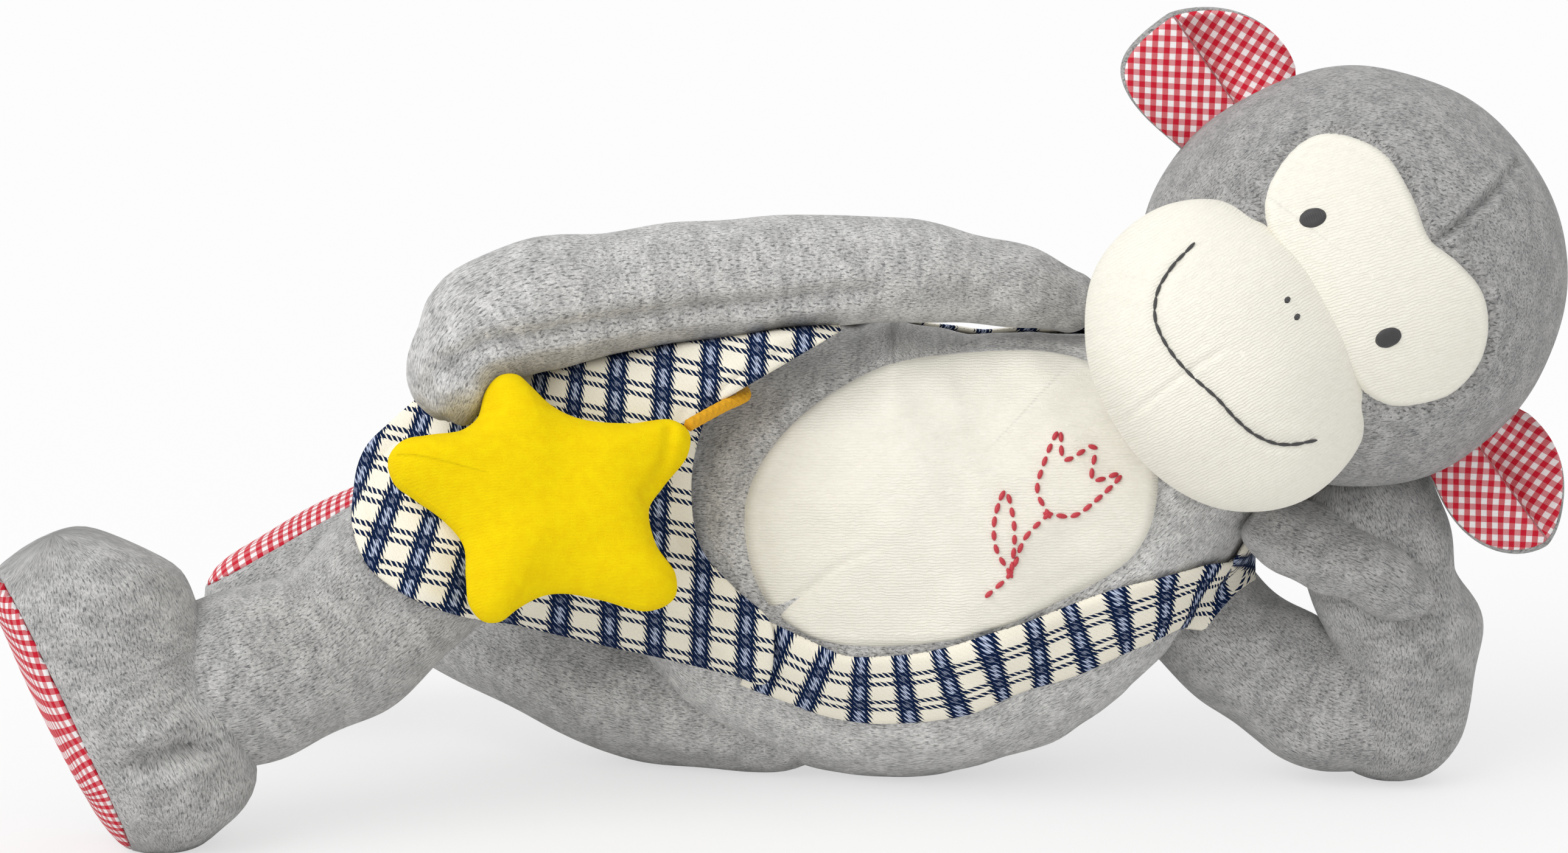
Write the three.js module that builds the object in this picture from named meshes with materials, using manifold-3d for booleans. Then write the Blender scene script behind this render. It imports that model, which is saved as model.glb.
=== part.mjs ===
// Stuffed velour monkey lying on its left side, with a plaid apron, a star on a pull cord
// and a wind-up musical movement in its belly. Millimetres, +Z up, face and belly towards -Y.
import * as THREE from "three";
import { mergeVertices } from "three/addons/utils/BufferGeometryUtils.js";
import Module from "manifold-3d";

const wasm = await Module();
wasm.setup();

// Driving dimensions
const HEAD_RADIUS = 51;
const HEAD_CENTRE = [139, -4, 129.5];
const FACE_PATCH_THICK = 1.1;
const MUZZLE_HALF_WIDE = 39;
const MUZZLE_HALF_LONG = 31.5;
const MUZZLE_HALF_DEEP = 32;
const CHIN_HALF_DEEP = 16;
const MUZZLE_DROP = 39;
const MUZZLE_REACH = 28;
const EYE_SPACING = 33;
const EYE_DROP = 7;
const EYE_LONG = 6.2;
const EYE_WIDE = 4.4;
const NOSTRIL_LONG = 2.8;
const NOSTRIL_DROP = 23;
const STITCH_THICK = 1.3;
const EAR_REACH = 27.5;
const EAR_BASE = 33;
const EAR_BACK_THICK = 2;
const EAR_LINING_THICK = 1.4;
const EAR_CUP = 7;
const EAR_ROOT = 1.5;
const EAR_FULL_SIDE = 5;
const EAR_SLOPED_SIDE = 1.3;
const TORSO_GIRTH = 57.5;
const TORSO_DEPTH = 45;
const TORSO_GRID = [28, 12];
const HEAD_GRID = [26, 18];
const ARM_RADIUS = 13.4;
const LEFT_ARM_RADIUS = 18;
const FOREARM_REACH = 60;
const LEG_RADIUS = 21;
const FOOT_HALF_LONG = 38.5;
const FOOT_HALF_TALL = 27.5;
const FOOT_HALF_DEEP = 21;
const SOLE_THICK = 2.4;
const APRON_THICK = 2;
const APRON_FRONT = -34;
const APRON_FALL = 18;
const STRAP_WIDE = 15;
const STRAP_THICK = 1.2;
const PANEL_THICK = 0.9;
const THREAD_RADIUS = 0.6;
const EYELET_RIM = 2.2;
const EYELET_THICK = 1.2;
const STAR_SCALE = 1;
const STAR_CENTRE = [-55.6, 71];
const STAR_FRONT = -47.6;
const STAR_HALF_THICK = 8.5;
const CORD_DIAMETER = 3;
const REST_CUT = 0.5;
const CLOTH_GAP = 0.6;
const RUN_GAP = 0.4;
const SEWN_GAP = 0.3;
const SOCKET_GAP = 1.2;
const NECK_GAP = 0.8;
const CASE_LONG = 46;
const CASE_WIDE = 36;
const CASE_DEEP = 19;
const CASE_WALL = 1.6;
const GEAR_MODULE = 0.8;
const REEL_TEETH = 24;
const CYLINDER_TEETH = 16;
const GEAR_THICK = 2;
const REEL_RADIUS = 11;
const REEL_END_ROOM = 14.5;
const REEL_SIDE = 5.15;
const SCREW_INSET = 4;
const REEL_WIDE = 4.9;
const AXLE_RADIUS = 1.2;
const CYLINDER_RADIUS = 4.4;
const CYLINDER_LONG = 7;
const GOVERNOR_TEETH = 8;
const COMB_TEETH = 12;
const FAN_REACH = 3.4;
const GEAR_SLACK = 0.3;
const AXLE_GAP = 0.2;
const SCREW_RADIUS = 0.9;
const POST_RADIUS = 2.1;
const CASE_CENTRE = [38, 14, 66];
const POCKET_GAP = 1;
const CHANNEL_GAP = 1.4;
const FACET_SAG = 0.2;
const MESH_TOLERANCE = 0.05;
const CLOTH_TOLERANCE = 0.08;
const SEAM_LONG = 44;
const SEAM_OPEN = 1.6;

const VIEW_TILT = THREE.MathUtils.degToRad(12);
const FACE_OUT = new THREE.Vector3(0, -Math.cos(VIEW_TILT), Math.sin(VIEW_TILT));
const PICTURE_UP = new THREE.Vector3(0, Math.sin(VIEW_TILT), Math.cos(VIEW_TILT));
const PICTURE_RIGHT = new THREE.Vector3(1, 0, 0);
const FACE_TURN = THREE.MathUtils.degToRad(30);

const MATERIALS = {
  grey_velour: { color: 0x9fa0a3, roughness: 0.95 },
  cream_velour: { color: 0xf6f1e0, roughness: 0.95 },
  gingham: { color: 0xd8506a, roughness: 0.9 },
  plaid: { color: 0xb9bccb, roughness: 0.9 },
  red_thread: { color: 0xc3203a, roughness: 0.6 },
  yellow_velour: { color: 0xf3d21c, roughness: 0.9 },
  cord_cotton: { color: 0xd0861a, roughness: 0.8 },
  dark_thread: { color: 0x3c3b3d, roughness: 0.6 },
  white_plastic: { color: 0xe9e7e0, roughness: 0.4 },
  nylon: { color: 0xf4f2ea, roughness: 0.45 },
  brass: { color: 0xc9a24a, roughness: 0.35, metalness: 1 },
  steel: { color: 0xb8bbbf, roughness: 0.3, metalness: 1 },
};

const monkey = new THREE.Group();

function vector(point) {
  return new THREE.Vector3(...point);
}

// Solids for cutting and joining, and back
function solidOf(geometry) {
  const bare = new THREE.BufferGeometry();
  const source = geometry.index ? geometry.toNonIndexed() : geometry;
  bare.setAttribute("position", source.getAttribute("position").clone());
  const merged = mergeVertices(bare, 1e-4);
  return new wasm.Manifold(
    new wasm.Mesh({
      numProp: 3,
      vertProperties: new Float32Array(merged.attributes.position.array),
      triVerts: new Uint32Array(merged.index.array),
    }),
  );
}

function geometryOf(solid) {
  const mesh = solid.getMesh();
  const geometry = new THREE.BufferGeometry();
  geometry.setAttribute("position", new THREE.BufferAttribute(mesh.vertProperties, 3));
  geometry.setIndex(new THREE.BufferAttribute(mesh.triVerts, 1));
  const flat = geometry.toNonIndexed();
  flat.computeVertexNormals();
  return flat;
}

function largest(solid) {
  const pieces = solid.decompose();
  return pieces.reduce((best, piece) => (piece.volume() > best.volume() ? piece : best));
}

function cut(solid, ...tools) {
  return largest(tools.reduce((rest, tool) => rest.subtract(tool), solid));
}

function place(name, material, shape, tolerance = MESH_TOLERANCE) {
  const geometry = shape.isBufferGeometry ? shape : geometryOf(largest(shape.simplify(tolerance)));
  const mesh = new THREE.Mesh(geometry, new THREE.MeshStandardMaterial(MATERIALS[material]));
  mesh.name = name;
  monkey.add(mesh);
  return mesh;
}

function moved(geometry, matrix) {
  return geometry.clone().applyMatrix4(matrix);
}

function ball(centre, radius, around, down) {
  const shape = new THREE.SphereGeometry(radius, around, down);
  return shape.translate(...centre);
}

function block(low, high) {
  const size = high.map((value, axis) => value - low[axis]);
  const centre = high.map((value, axis) => (value + low[axis]) / 2);
  return new THREE.BoxGeometry(...size).translate(...centre);
}

// A closed surface from rings of points, each end drawn to one point
function closedRings(rings, first, last) {
  const around = rings[0].length;
  const points = [first, ...rings.flat(), last];
  const faces = [];
  const index = (ring, step) => 1 + ring * around + (step % around);
  for (let step = 0; step < around; step++) {
    faces.push(0, index(0, step + 1), index(0, step));
    faces.push(points.length - 1, index(rings.length - 1, step), index(rings.length - 1, step + 1));
    for (let ring = 0; ring + 1 < rings.length; ring++) {
      faces.push(index(ring, step), index(ring, step + 1), index(ring + 1, step + 1));
      faces.push(index(ring, step), index(ring + 1, step + 1), index(ring + 1, step));
    }
  }
  return faceted(points, faces);
}

function faceted(points, faces) {
  const geometry = new THREE.BufferGeometry();
  const flat = new Float32Array(points.flatMap((point) => point.toArray()));
  geometry.setAttribute("position", new THREE.BufferAttribute(flat, 3));
  geometry.setIndex(faces);
  if (volumeOf(geometry) < 0) {
    for (let i = 0; i < faces.length; i += 3) {
      [faces[i + 1], faces[i + 2]] = [faces[i + 2], faces[i + 1]];
    }
    geometry.setIndex(faces);
  }
  const out = geometry.toNonIndexed();
  out.computeVertexNormals();
  return out;
}

function volumeOf(geometry) {
  const position = geometry.getAttribute("position");
  const index = geometry.index;
  const corner = [0, 1, 2].map(() => new THREE.Vector3());
  let total = 0;
  for (let i = 0; i < index.count; i += 3) {
    corner.forEach((point, k) => point.fromBufferAttribute(position, index.getX(i + k)));
    total += corner[0].dot(corner[1].cross(corner[2])) / 6;
  }
  return total;
}

// A stuffed form: a smooth spine with swelling oval sections and rounded ends
class StuffedForm {
  constructor({ path, startCap, endCap }) {
    this.curve = new THREE.CatmullRomCurve3(path.map((stop) => vector(stop.at)), false, "centripetal");
    this.sizes = new THREE.CatmullRomCurve3(
      path.map((stop) => new THREE.Vector3(stop.tall, stop.deep, 0)),
      false,
      "centripetal",
    );
    this.stops = path.length - 1;
    this.lengths = this.curve.getLengths(400);
    this.long = this.lengths[400];
    this.startCap = startCap;
    this.endCap = endCap;
    this.knots = path.map((stop, k) => this.lengths[Math.round((400 * k) / this.stops)] / this.long);
  }

  // Oval half sizes at a share of the spine's length
  size(share) {
    let k = 0;
    while (k < this.stops - 1 && share > this.knots[k + 1]) k++;
    const part = (share - this.knots[k]) / (this.knots[k + 1] - this.knots[k]);
    const value = this.sizes.getPoint(Math.min(1, Math.max(0, (k + part) / this.stops)));
    const fromStart = Math.min(1, (share * this.long) / this.startCap);
    const fromEnd = Math.min(1, ((1 - share) * this.long) / this.endCap);
    const round = Math.sqrt(Math.max(0, 1 - (1 - fromStart) ** 2) * Math.max(0, 1 - (1 - fromEnd) ** 2));
    return [value.x * round, value.y * round, round];
  }

  // Centre, tangent, tall and deep directions
  frame(share) {
    const inside = Math.min(1, Math.max(0, share));
    const centre = this.curve.getPointAt(inside);
    const along = this.curve.getTangentAt(inside);
    const deep = new THREE.Vector3(0, -1, 0).addScaledVector(along, along.y).normalize();
    const tall = new THREE.Vector3().crossVectors(deep, along).normalize();
    return { centre, along, deep, tall };
  }

  // A point on the skin, raised by a height; the angle runs from tall (0) to deep (a quarter turn)
  point(share, angle, height = 0) {
    const { centre, tall, deep } = this.frame(share);
    const [a, b, round] = this.size(share);
    const lift = height * round;
    return centre
      .clone()
      .addScaledVector(tall, Math.cos(angle) * (a + lift))
      .addScaledVector(deep, Math.sin(angle) * (b + lift));
  }

  // The closed surface, grown by a height
  shape(around, along, grow = 0) {
    const caps = 4;
    const shares = [];
    const start = this.startCap / this.long;
    const end = 1 - this.endCap / this.long;
    for (let k = 1; k <= caps; k++) shares.push(start * (1 - Math.cos((Math.PI / 2) * (k / caps))));
    for (let k = 1; k < along; k++) shares.push(start + ((end - start) * k) / along);
    for (let k = caps; k >= 1; k--) shares.push(1 - (1 - end) * (1 - Math.cos((Math.PI / 2) * (k / caps))));
    const rings = shares.map((share) =>
      Array.from({ length: around }, (_, step) => this.point(share, (2 * Math.PI * step) / around, grow)),
    );
    const first = this.frame(0);
    const last = this.frame(1);
    return closedRings(
      rings,
      first.centre.addScaledVector(first.along, -grow),
      last.centre.addScaledVector(last.along, grow),
    );
  }
}

// A ribbon on a form: it follows stops of share and angle, and lies at a height over the skin
function ribbon(form, stops, wide, low, thick, steps, across = 4) {
  const route = new THREE.CatmullRomCurve3(stops.map(([share, angle]) => new THREE.Vector3(share, angle, 0)));
  const small = 1e-3;
  const rows = [];
  for (let i = 0; i <= steps; i++) {
    const here = route.getPoint(i / steps);
    const next = route.getPoint(Math.min(1, i / steps + small));
    const last = route.getPoint(Math.max(0, i / steps - small));
    const middle = form.point(here.x, here.y);
    const along = form.point(next.x, next.y).sub(form.point(last.x, last.y)).normalize();
    const byShare = form.point(here.x + small, here.y).sub(middle).divideScalar(small);
    const byAngle = form.point(here.x, here.y + small).sub(middle).divideScalar(small);
    const normal = new THREE.Vector3().crossVectors(byShare, byAngle).normalize();
    const side = new THREE.Vector3().crossVectors(normal, along).normalize();
    const m = [byShare.dot(byShare), byShare.dot(byAngle), byAngle.dot(byAngle)];
    const det = m[0] * m[2] - m[1] * m[1];
    const row = [];
    for (let k = 0; k <= across; k++) {
      const reach = side.clone().multiplyScalar(wide * (k / across - 0.5));
      const u = reach.dot(byShare);
      const v = reach.dot(byAngle);
      row.push([here.x + (m[2] * u - m[1] * v) / det, here.y + (m[0] * v - m[1] * u) / det]);
    }
    rows.push(row);
  }
  return slab(rows, (place, height) => form.point(place[0], place[1], height), low, thick);
}

// A thin closed slab between two heights over a grid of places
function slab(rows, at, low, thick) {
  const wide = rows[0].length;
  const points = [];
  for (const height of [low, low + thick]) {
    for (const row of rows) for (const place of row) points.push(at(place, height));
  }
  const half = rows.length * wide;
  const index = (row, column, top) => row * wide + column + (top ? half : 0);
  const faces = [];
  const quad = (a, b, c, d) => faces.push(a, b, c, a, c, d);
  for (let i = 0; i + 1 < rows.length; i++) {
    for (let k = 0; k + 1 < wide; k++) {
      quad(index(i, k, 1), index(i + 1, k, 1), index(i + 1, k + 1, 1), index(i, k + 1, 1));
      quad(index(i, k, 0), index(i, k + 1, 0), index(i + 1, k + 1, 0), index(i + 1, k, 0));
    }
    quad(index(i, 0, 0), index(i + 1, 0, 0), index(i + 1, 0, 1), index(i, 0, 1));
    quad(index(i, wide - 1, 1), index(i + 1, wide - 1, 1), index(i + 1, wide - 1, 0), index(i, wide - 1, 0));
  }
  for (let k = 0; k + 1 < wide; k++) {
    quad(index(0, k, 1), index(0, k + 1, 1), index(0, k + 1, 0), index(0, k, 0));
    const end = rows.length - 1;
    quad(index(end, k, 0), index(end, k + 1, 0), index(end, k + 1, 1), index(end, k, 1));
  }
  return faceted(points, faces);
}

// A thin closed patch: an outline in the picture plane, laid on what lies behind it
function patch(outline, centre, rings, under, over) {
  const layers = [under, over].map((depthAt) => {
    const points = [];
    for (let ring = 1; ring <= rings; ring++) {
      for (const [x, up] of outline) {
        const share = ring / rings;
        points.push(depthAt(centre[0] + (x - centre[0]) * share, centre[1] + (up - centre[1]) * share, share));
      }
    }
    return { middle: depthAt(centre[0], centre[1], 0), points };
  });
  const count = outline.length;
  const points = layers.flatMap((layer) => [layer.middle, ...layer.points]);
  const half = 1 + count * rings;
  const index = (ring, step, top) => (top ? half : 0) + 1 + (ring - 1) * count + (step % count);
  const faces = [];
  for (let step = 0; step < count; step++) {
    faces.push(half, index(1, step, 1), index(1, step + 1, 1), 0, index(1, step + 1, 0), index(1, step, 0));
    for (let ring = 1; ring < rings; ring++) {
      const top = [index(ring, step, 1), index(ring + 1, step, 1), index(ring + 1, step + 1, 1), index(ring, step + 1, 1)];
      faces.push(top[0], top[1], top[2], top[0], top[2], top[3]);
      const low = [index(ring, step, 0), index(ring, step + 1, 0), index(ring + 1, step + 1, 0), index(ring + 1, step, 0)];
      faces.push(low[0], low[1], low[2], low[0], low[2], low[3]);
    }
    const edge = [index(rings, step, 1), index(rings, step, 0), index(rings, step + 1, 0), index(rings, step + 1, 1)];
    faces.push(edge[0], edge[1], edge[2], edge[0], edge[2], edge[3]);
  }
  return faceted(points, faces);
}

// The first hit on a surface, looking along the picture's depth at a place in the picture plane
function looker(geometry) {
  const mesh = new THREE.Mesh(geometry, new THREE.MeshBasicMaterial({ side: THREE.DoubleSide }));
  const ray = new THREE.Raycaster();
  return (x, up) => {
    const eye = PICTURE_RIGHT.clone().multiplyScalar(x);
    eye.addScaledVector(PICTURE_UP, up).addScaledVector(FACE_OUT, 400);
    ray.set(eye, FACE_OUT.clone().negate());
    const hits = ray.intersectObject(mesh);
    return hits.length ? { spot: hits[0].point, normal: hits[0].face.normal.clone() } : null;
  };
}

function smoothOutline(points, count) {
  const curve = new THREE.CatmullRomCurve3(points.map(([x, up]) => new THREE.Vector3(x, up, 0)), true, "centripetal");
  return curve.getSpacedPoints(count).slice(0, count).map((point) => [point.x, point.y]);
}

// Torso: a pear, widest at the belly, its neck end in the head
const torsoForm = new StuffedForm({
  startCap: 34,
  endCap: 14,
  path: [
    { at: [-46, 13, 66], tall: TORSO_GIRTH - 23, deep: TORSO_DEPTH - 14 },
    { at: [-20, 14, 62.5], tall: TORSO_GIRTH - 11, deep: TORSO_DEPTH - 8 },
    { at: [6, 14, 59], tall: TORSO_GIRTH - 3.5, deep: TORSO_DEPTH - 2 },
    { at: [32, 13, TORSO_GIRTH], tall: TORSO_GIRTH + 2 * REST_CUT, deep: TORSO_DEPTH },
    { at: [58, 11, 64], tall: TORSO_GIRTH - 5.5, deep: TORSO_DEPTH - 2 },
    { at: [82, 8, 77], tall: TORSO_GIRTH - 16, deep: TORSO_DEPTH - 9 },
    { at: [100, 5, 90], tall: TORSO_GIRTH - 28, deep: TORSO_DEPTH - 17 },
    { at: [112, 2, 101], tall: TORSO_GIRTH - 35, deep: TORSO_DEPTH - 22 },
  ],
});

// Right arm: thin at the shoulder, the hand curled down at its end
const SHOULDER_RIGHT = [72, 5, 121];
const armRightForm = new StuffedForm({
  startCap: 7,
  endCap: ARM_RADIUS - 4,
  path: [
    { at: [77, 5, 119.5], tall: 8, deep: 8 },
    { at: [70, 4, 122], tall: 8, deep: 8 },
    { at: [58, 2, 126], tall: ARM_RADIUS - 3.6, deep: ARM_RADIUS - 4 },
    { at: [40, 0, 129.5], tall: ARM_RADIUS - 1.6, deep: ARM_RADIUS - 2 },
    { at: [15, -5, 131.5], tall: ARM_RADIUS, deep: ARM_RADIUS - 1 },
    { at: [-13, -12, 131], tall: ARM_RADIUS + 0.8, deep: ARM_RADIUS - 1 },
    { at: [-42, -20, 128.5], tall: ARM_RADIUS + 1.4, deep: ARM_RADIUS - 1 },
    { at: [-60, -27, 126.5], tall: ARM_RADIUS + 1.8, deep: ARM_RADIUS - 1 },
    { at: [-74, -31, 121], tall: ARM_RADIUS + 1.4, deep: ARM_RADIUS - 1 },
    { at: [-82, -34, 111], tall: ARM_RADIUS - 2.6, deep: ARM_RADIUS - 2 },
    { at: [-83, -35, 100], tall: ARM_RADIUS - 5.2, deep: ARM_RADIUS - 4 },
  ],
});

// Left arm: the elbow on the ground, the forearm upright under the head, the hand folded back
const SHOULDER_LEFT = [103, 10, 44];
const ELBOW = [151, 5, LEFT_ARM_RADIUS - REST_CUT];
const upperArmForm = new StuffedForm({
  startCap: LEFT_ARM_RADIUS - 2,
  endCap: LEFT_ARM_RADIUS,
  path: [
    { at: [92, 11, 55], tall: LEFT_ARM_RADIUS - 3, deep: LEFT_ARM_RADIUS - 3 },
    { at: SHOULDER_LEFT, tall: LEFT_ARM_RADIUS - 2, deep: LEFT_ARM_RADIUS - 2 },
    { at: [118, 8, 31], tall: LEFT_ARM_RADIUS - 1, deep: LEFT_ARM_RADIUS - 1 },
    { at: [134, 6.5, 21.5], tall: LEFT_ARM_RADIUS, deep: LEFT_ARM_RADIUS },
    { at: [168, 4, LEFT_ARM_RADIUS - 1], tall: LEFT_ARM_RADIUS - 1, deep: LEFT_ARM_RADIUS },
  ],
});
const forearmForm = new StuffedForm({
  startCap: LEFT_ARM_RADIUS,
  endCap: 12,
  path: [
    { at: [150.5, 5, -REST_CUT], tall: LEFT_ARM_RADIUS, deep: LEFT_ARM_RADIUS },
    { at: [153, 4, 20], tall: LEFT_ARM_RADIUS, deep: LEFT_ARM_RADIUS },
    { at: [154, 1, 38], tall: LEFT_ARM_RADIUS + 0.5, deep: LEFT_ARM_RADIUS },
    { at: [149, -2, 54], tall: LEFT_ARM_RADIUS + 1, deep: LEFT_ARM_RADIUS - 1 },
    { at: [142, -4, 70], tall: LEFT_ARM_RADIUS + 1, deep: LEFT_ARM_RADIUS - 1 },
    { at: [137, -5, 84], tall: LEFT_ARM_RADIUS, deep: LEFT_ARM_RADIUS - 2 },
  ],
});
const handLeftForm = new StuffedForm({
  startCap: 8,
  endCap: 9,
  path: [
    { at: [156, -14, 50], tall: 7, deep: 9 },
    { at: [145, -19, 58], tall: 9, deep: 9 },
    { at: [130, -17, 65], tall: 9.5, deep: 12 },
    { at: [113, -12, 71], tall: 8, deep: 13 },
  ],
});

// Legs: the right one over the left, both bent at the knee; the feet point up at the toes
const HIP_RIGHT = [-13, 10, 84];
const legRightForm = new StuffedForm({
  startCap: LEG_RADIUS - 6,
  endCap: 12,
  path: [
    { at: [2, 12, 86], tall: LEG_RADIUS - 7, deep: LEG_RADIUS - 6 },
    { at: HIP_RIGHT, tall: LEG_RADIUS - 6, deep: LEG_RADIUS - 5 },
    { at: [-28, 3, 84], tall: LEG_RADIUS - 3, deep: LEG_RADIUS - 4 },
    { at: [-48, -6, 82], tall: LEG_RADIUS, deep: LEG_RADIUS - 2 },
    { at: [-71, -16, 75], tall: LEG_RADIUS + 1, deep: LEG_RADIUS - 1 },
    { at: [-91, -27, 60], tall: LEG_RADIUS + 0.5, deep: LEG_RADIUS - 1 },
    { at: [-110, -36, 46.5], tall: LEG_RADIUS + 0.5, deep: LEG_RADIUS - 1 },
    { at: [-130, -44, 38], tall: LEG_RADIUS + 1, deep: LEG_RADIUS - 1 },
    { at: [-152, -49, 33], tall: LEG_RADIUS, deep: LEG_RADIUS - 2 },
  ],
});
const footRightForm = new StuffedForm({
  startCap: 17,
  endCap: 15,
  path: [
    { at: [-172, -52, 2 * FOOT_HALF_LONG], tall: FOOT_HALF_TALL - 3, deep: FOOT_HALF_DEEP - 1 },
    { at: [-167, -52, 62], tall: FOOT_HALF_TALL - 1.5, deep: FOOT_HALF_DEEP },
    { at: [-162, -51.5, 42], tall: FOOT_HALF_TALL, deep: FOOT_HALF_DEEP + 1 },
    { at: [-150, -51, 21], tall: FOOT_HALF_TALL - 3, deep: FOOT_HALF_DEEP },
    { at: [-146, -50, -2 * REST_CUT], tall: FOOT_HALF_TALL - 9, deep: FOOT_HALF_DEEP - 3 },
  ],
});
const HIP_LEFT = [-4, 15, LEG_RADIUS - REST_CUT];
const legLeftForm = new StuffedForm({
  startCap: LEG_RADIUS - 1,
  endCap: 12,
  path: [
    { at: [18, 15, LEG_RADIUS], tall: LEG_RADIUS - 1, deep: LEG_RADIUS - 1 },
    { at: HIP_LEFT, tall: LEG_RADIUS, deep: LEG_RADIUS },
    { at: [-30, 16, LEG_RADIUS - REST_CUT], tall: LEG_RADIUS, deep: LEG_RADIUS },
    { at: [-50, 21, LEG_RADIUS + 2], tall: LEG_RADIUS, deep: LEG_RADIUS },
    { at: [-68, 31, 30], tall: LEG_RADIUS - 1, deep: LEG_RADIUS - 1 },
    { at: [-83, 41, 38], tall: LEG_RADIUS - 2, deep: LEG_RADIUS - 1 },
    { at: [-98, 48, 46], tall: LEG_RADIUS - 3, deep: LEG_RADIUS - 1 },
  ],
});
const footLeftForm = new StuffedForm({
  startCap: 15,
  endCap: 15,
  path: [
    { at: [-84, 46, 60], tall: FOOT_HALF_TALL - 12, deep: FOOT_HALF_DEEP - 1 },
    { at: [-100, 47, 52], tall: FOOT_HALF_TALL - 10, deep: FOOT_HALF_DEEP },
    { at: [-117, 48, 44], tall: FOOT_HALF_TALL - 10, deep: FOOT_HALF_DEEP },
    { at: [-133, 48, 36], tall: FOOT_HALF_TALL - 11, deep: FOOT_HALF_DEEP },
    { at: [-146, 48, 26], tall: FOOT_HALF_TALL - 12, deep: FOOT_HALF_DEEP - 1 },
  ],
});

// Solids that cut their neighbours
const ground = solidOf(block([-400, -300, -60], [400, 300, 0]));
const headClear = solidOf(ball(HEAD_CENTRE, HEAD_RADIUS + NECK_GAP, ...HEAD_GRID));

// The room around a joint: the hull of a form at several turns about a line, near its pivot
function room(form, pivot, axis, degrees, gap, reach) {
  const centre = vector(pivot);
  const shape = form.shape(16, 8, gap).getAttribute("position");
  const corners = [];
  for (const angle of degrees) {
    for (let i = 0; i < shape.count; i++) {
      const corner = new THREE.Vector3().fromBufferAttribute(shape, i).sub(centre);
      if (corner.length() > reach) continue;
      corner.applyAxisAngle(vector(axis), THREE.MathUtils.degToRad(angle)).add(centre);
      corners.push(corner.toArray());
    }
  }
  return wasm.Manifold.hull(corners).simplify(MESH_TOLERANCE);
}

const UPRIGHT = [0, 0, 1];
const limbRoom = [
  room(legRightForm, HIP_RIGHT, UPRIGHT, [0, -8, -15], SOCKET_GAP, 48),
  room(legLeftForm, HIP_LEFT, UPRIGHT, [0, -12, -24], SOCKET_GAP, 52),
  room(upperArmForm, SHOULDER_LEFT, UPRIGHT, [0, 8, 15], SOCKET_GAP, 40),
  solidOf(ball(SHOULDER_RIGHT, 8 + 2 * SOCKET_GAP, 20, 14)),
];
const ELBOW_TURNS = [0, 7, 14, 20];
const HIP_RIGHT_TURNS = [0, -4, -8, -12, -15];

function turned(solid, pivot, degrees) {
  const back = pivot.map((value) => -value);
  return solid.translate(back).rotate([0, 0, degrees]).translate(pivot);
}

// A tube along points
function tube(points, radius, sides, steps) {
  const ring = Array.from({ length: sides }, (_, step) => {
    const angle = (2 * Math.PI * step) / sides;
    return new THREE.Vector2(radius * Math.cos(angle), radius * Math.sin(angle));
  });
  const path = new THREE.CatmullRomCurve3(points);
  return new THREE.ExtrudeGeometry(new THREE.Shape(ring), { extrudePath: path, steps, bevelEnabled: false });
}

// A place by its position in the picture plane and its depth
function seen(x, up, y) {
  return new THREE.Vector3(x, y, (up - y * PICTURE_UP.y) / PICTURE_UP.z);
}

// Pull cord: out of the belly beside the apron's neckline, over its edge and down to the star
const REEL_ALONG = REEL_END_ROOM - CASE_LONG / 2;
const REEL_AT = [CASE_CENTRE[0] + REEL_ALONG, CASE_CENTRE[1] - REEL_SIDE, CASE_CENTRE[2]];
const CORD_SIDES = 8;
const lookTorso = looker(torsoForm.shape(...TORSO_GRID));
const { spot: eyeletAt, normal: eyeletOut } = lookTorso(-15, 100);
const cordInside = [
  eyeletAt.clone().addScaledVector(eyeletOut, -0.3),
  eyeletAt.clone().addScaledVector(eyeletOut, -2.5),
  new THREE.Vector3(-7, -7, 99),
  new THREE.Vector3(0, -8, 96),
  new THREE.Vector3(12, -3, 92),
  new THREE.Vector3(REEL_AT[0] - REEL_RADIUS, REEL_AT[1], REEL_AT[2] + CASE_WIDE / 2),
  new THREE.Vector3(REEL_AT[0] - REEL_RADIUS, REEL_AT[1], REEL_AT[2] + 3),
];
const cordRoute = [
  eyeletAt.clone().addScaledVector(eyeletOut, 0.2),
  eyeletAt.clone().addScaledVector(eyeletOut, 2.4),
  seen(-10.6, 98.8, -12.5),
  seen(-9.4, 97.2, -19),
  seen(-10.6, 96.2, -25),
  seen(-14, 94.6, -31),
  seen(-18, 92.4, -37),
  seen(-22.5, 89.8, -43.5),
];
const channel = solidOf(tube(cordInside, CORD_DIAMETER / 2 + CHANNEL_GAP, 10, 22));
const channelMouth = solidOf(
  tube([eyeletAt.clone().addScaledVector(eyeletOut, -2), eyeletAt.clone().addScaledVector(eyeletOut, 4)], CORD_DIAMETER / 2 + CHANNEL_GAP, 10, 1),
);

// Torso with a pocket for the movement, open along the back seam
const pocketHalf = [CASE_LONG / 2 + POCKET_GAP, CASE_DEEP / 2 + POCKET_GAP, CASE_WIDE / 2 + POCKET_GAP];
const pocket = block(
  CASE_CENTRE.map((value, axis) => value - pocketHalf[axis]),
  CASE_CENTRE.map((value, axis) => value + pocketHalf[axis]),
);
const backSeam = block(
  [CASE_CENTRE[0] - SEAM_LONG / 2, CASE_CENTRE[1], CASE_CENTRE[2] - SEAM_OPEN / 2],
  [CASE_CENTRE[0] + SEAM_LONG / 2, CASE_CENTRE[1] + 80, CASE_CENTRE[2] + SEAM_OPEN / 2],
);
const torso = cut(
  solidOf(torsoForm.shape(...TORSO_GRID)),
  headClear,
  ground,
  channel,
  channelMouth,
  solidOf(pocket),
  solidOf(backSeam),
  ...limbRoom,
);
place("torso", "grey_velour", torso);

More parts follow.
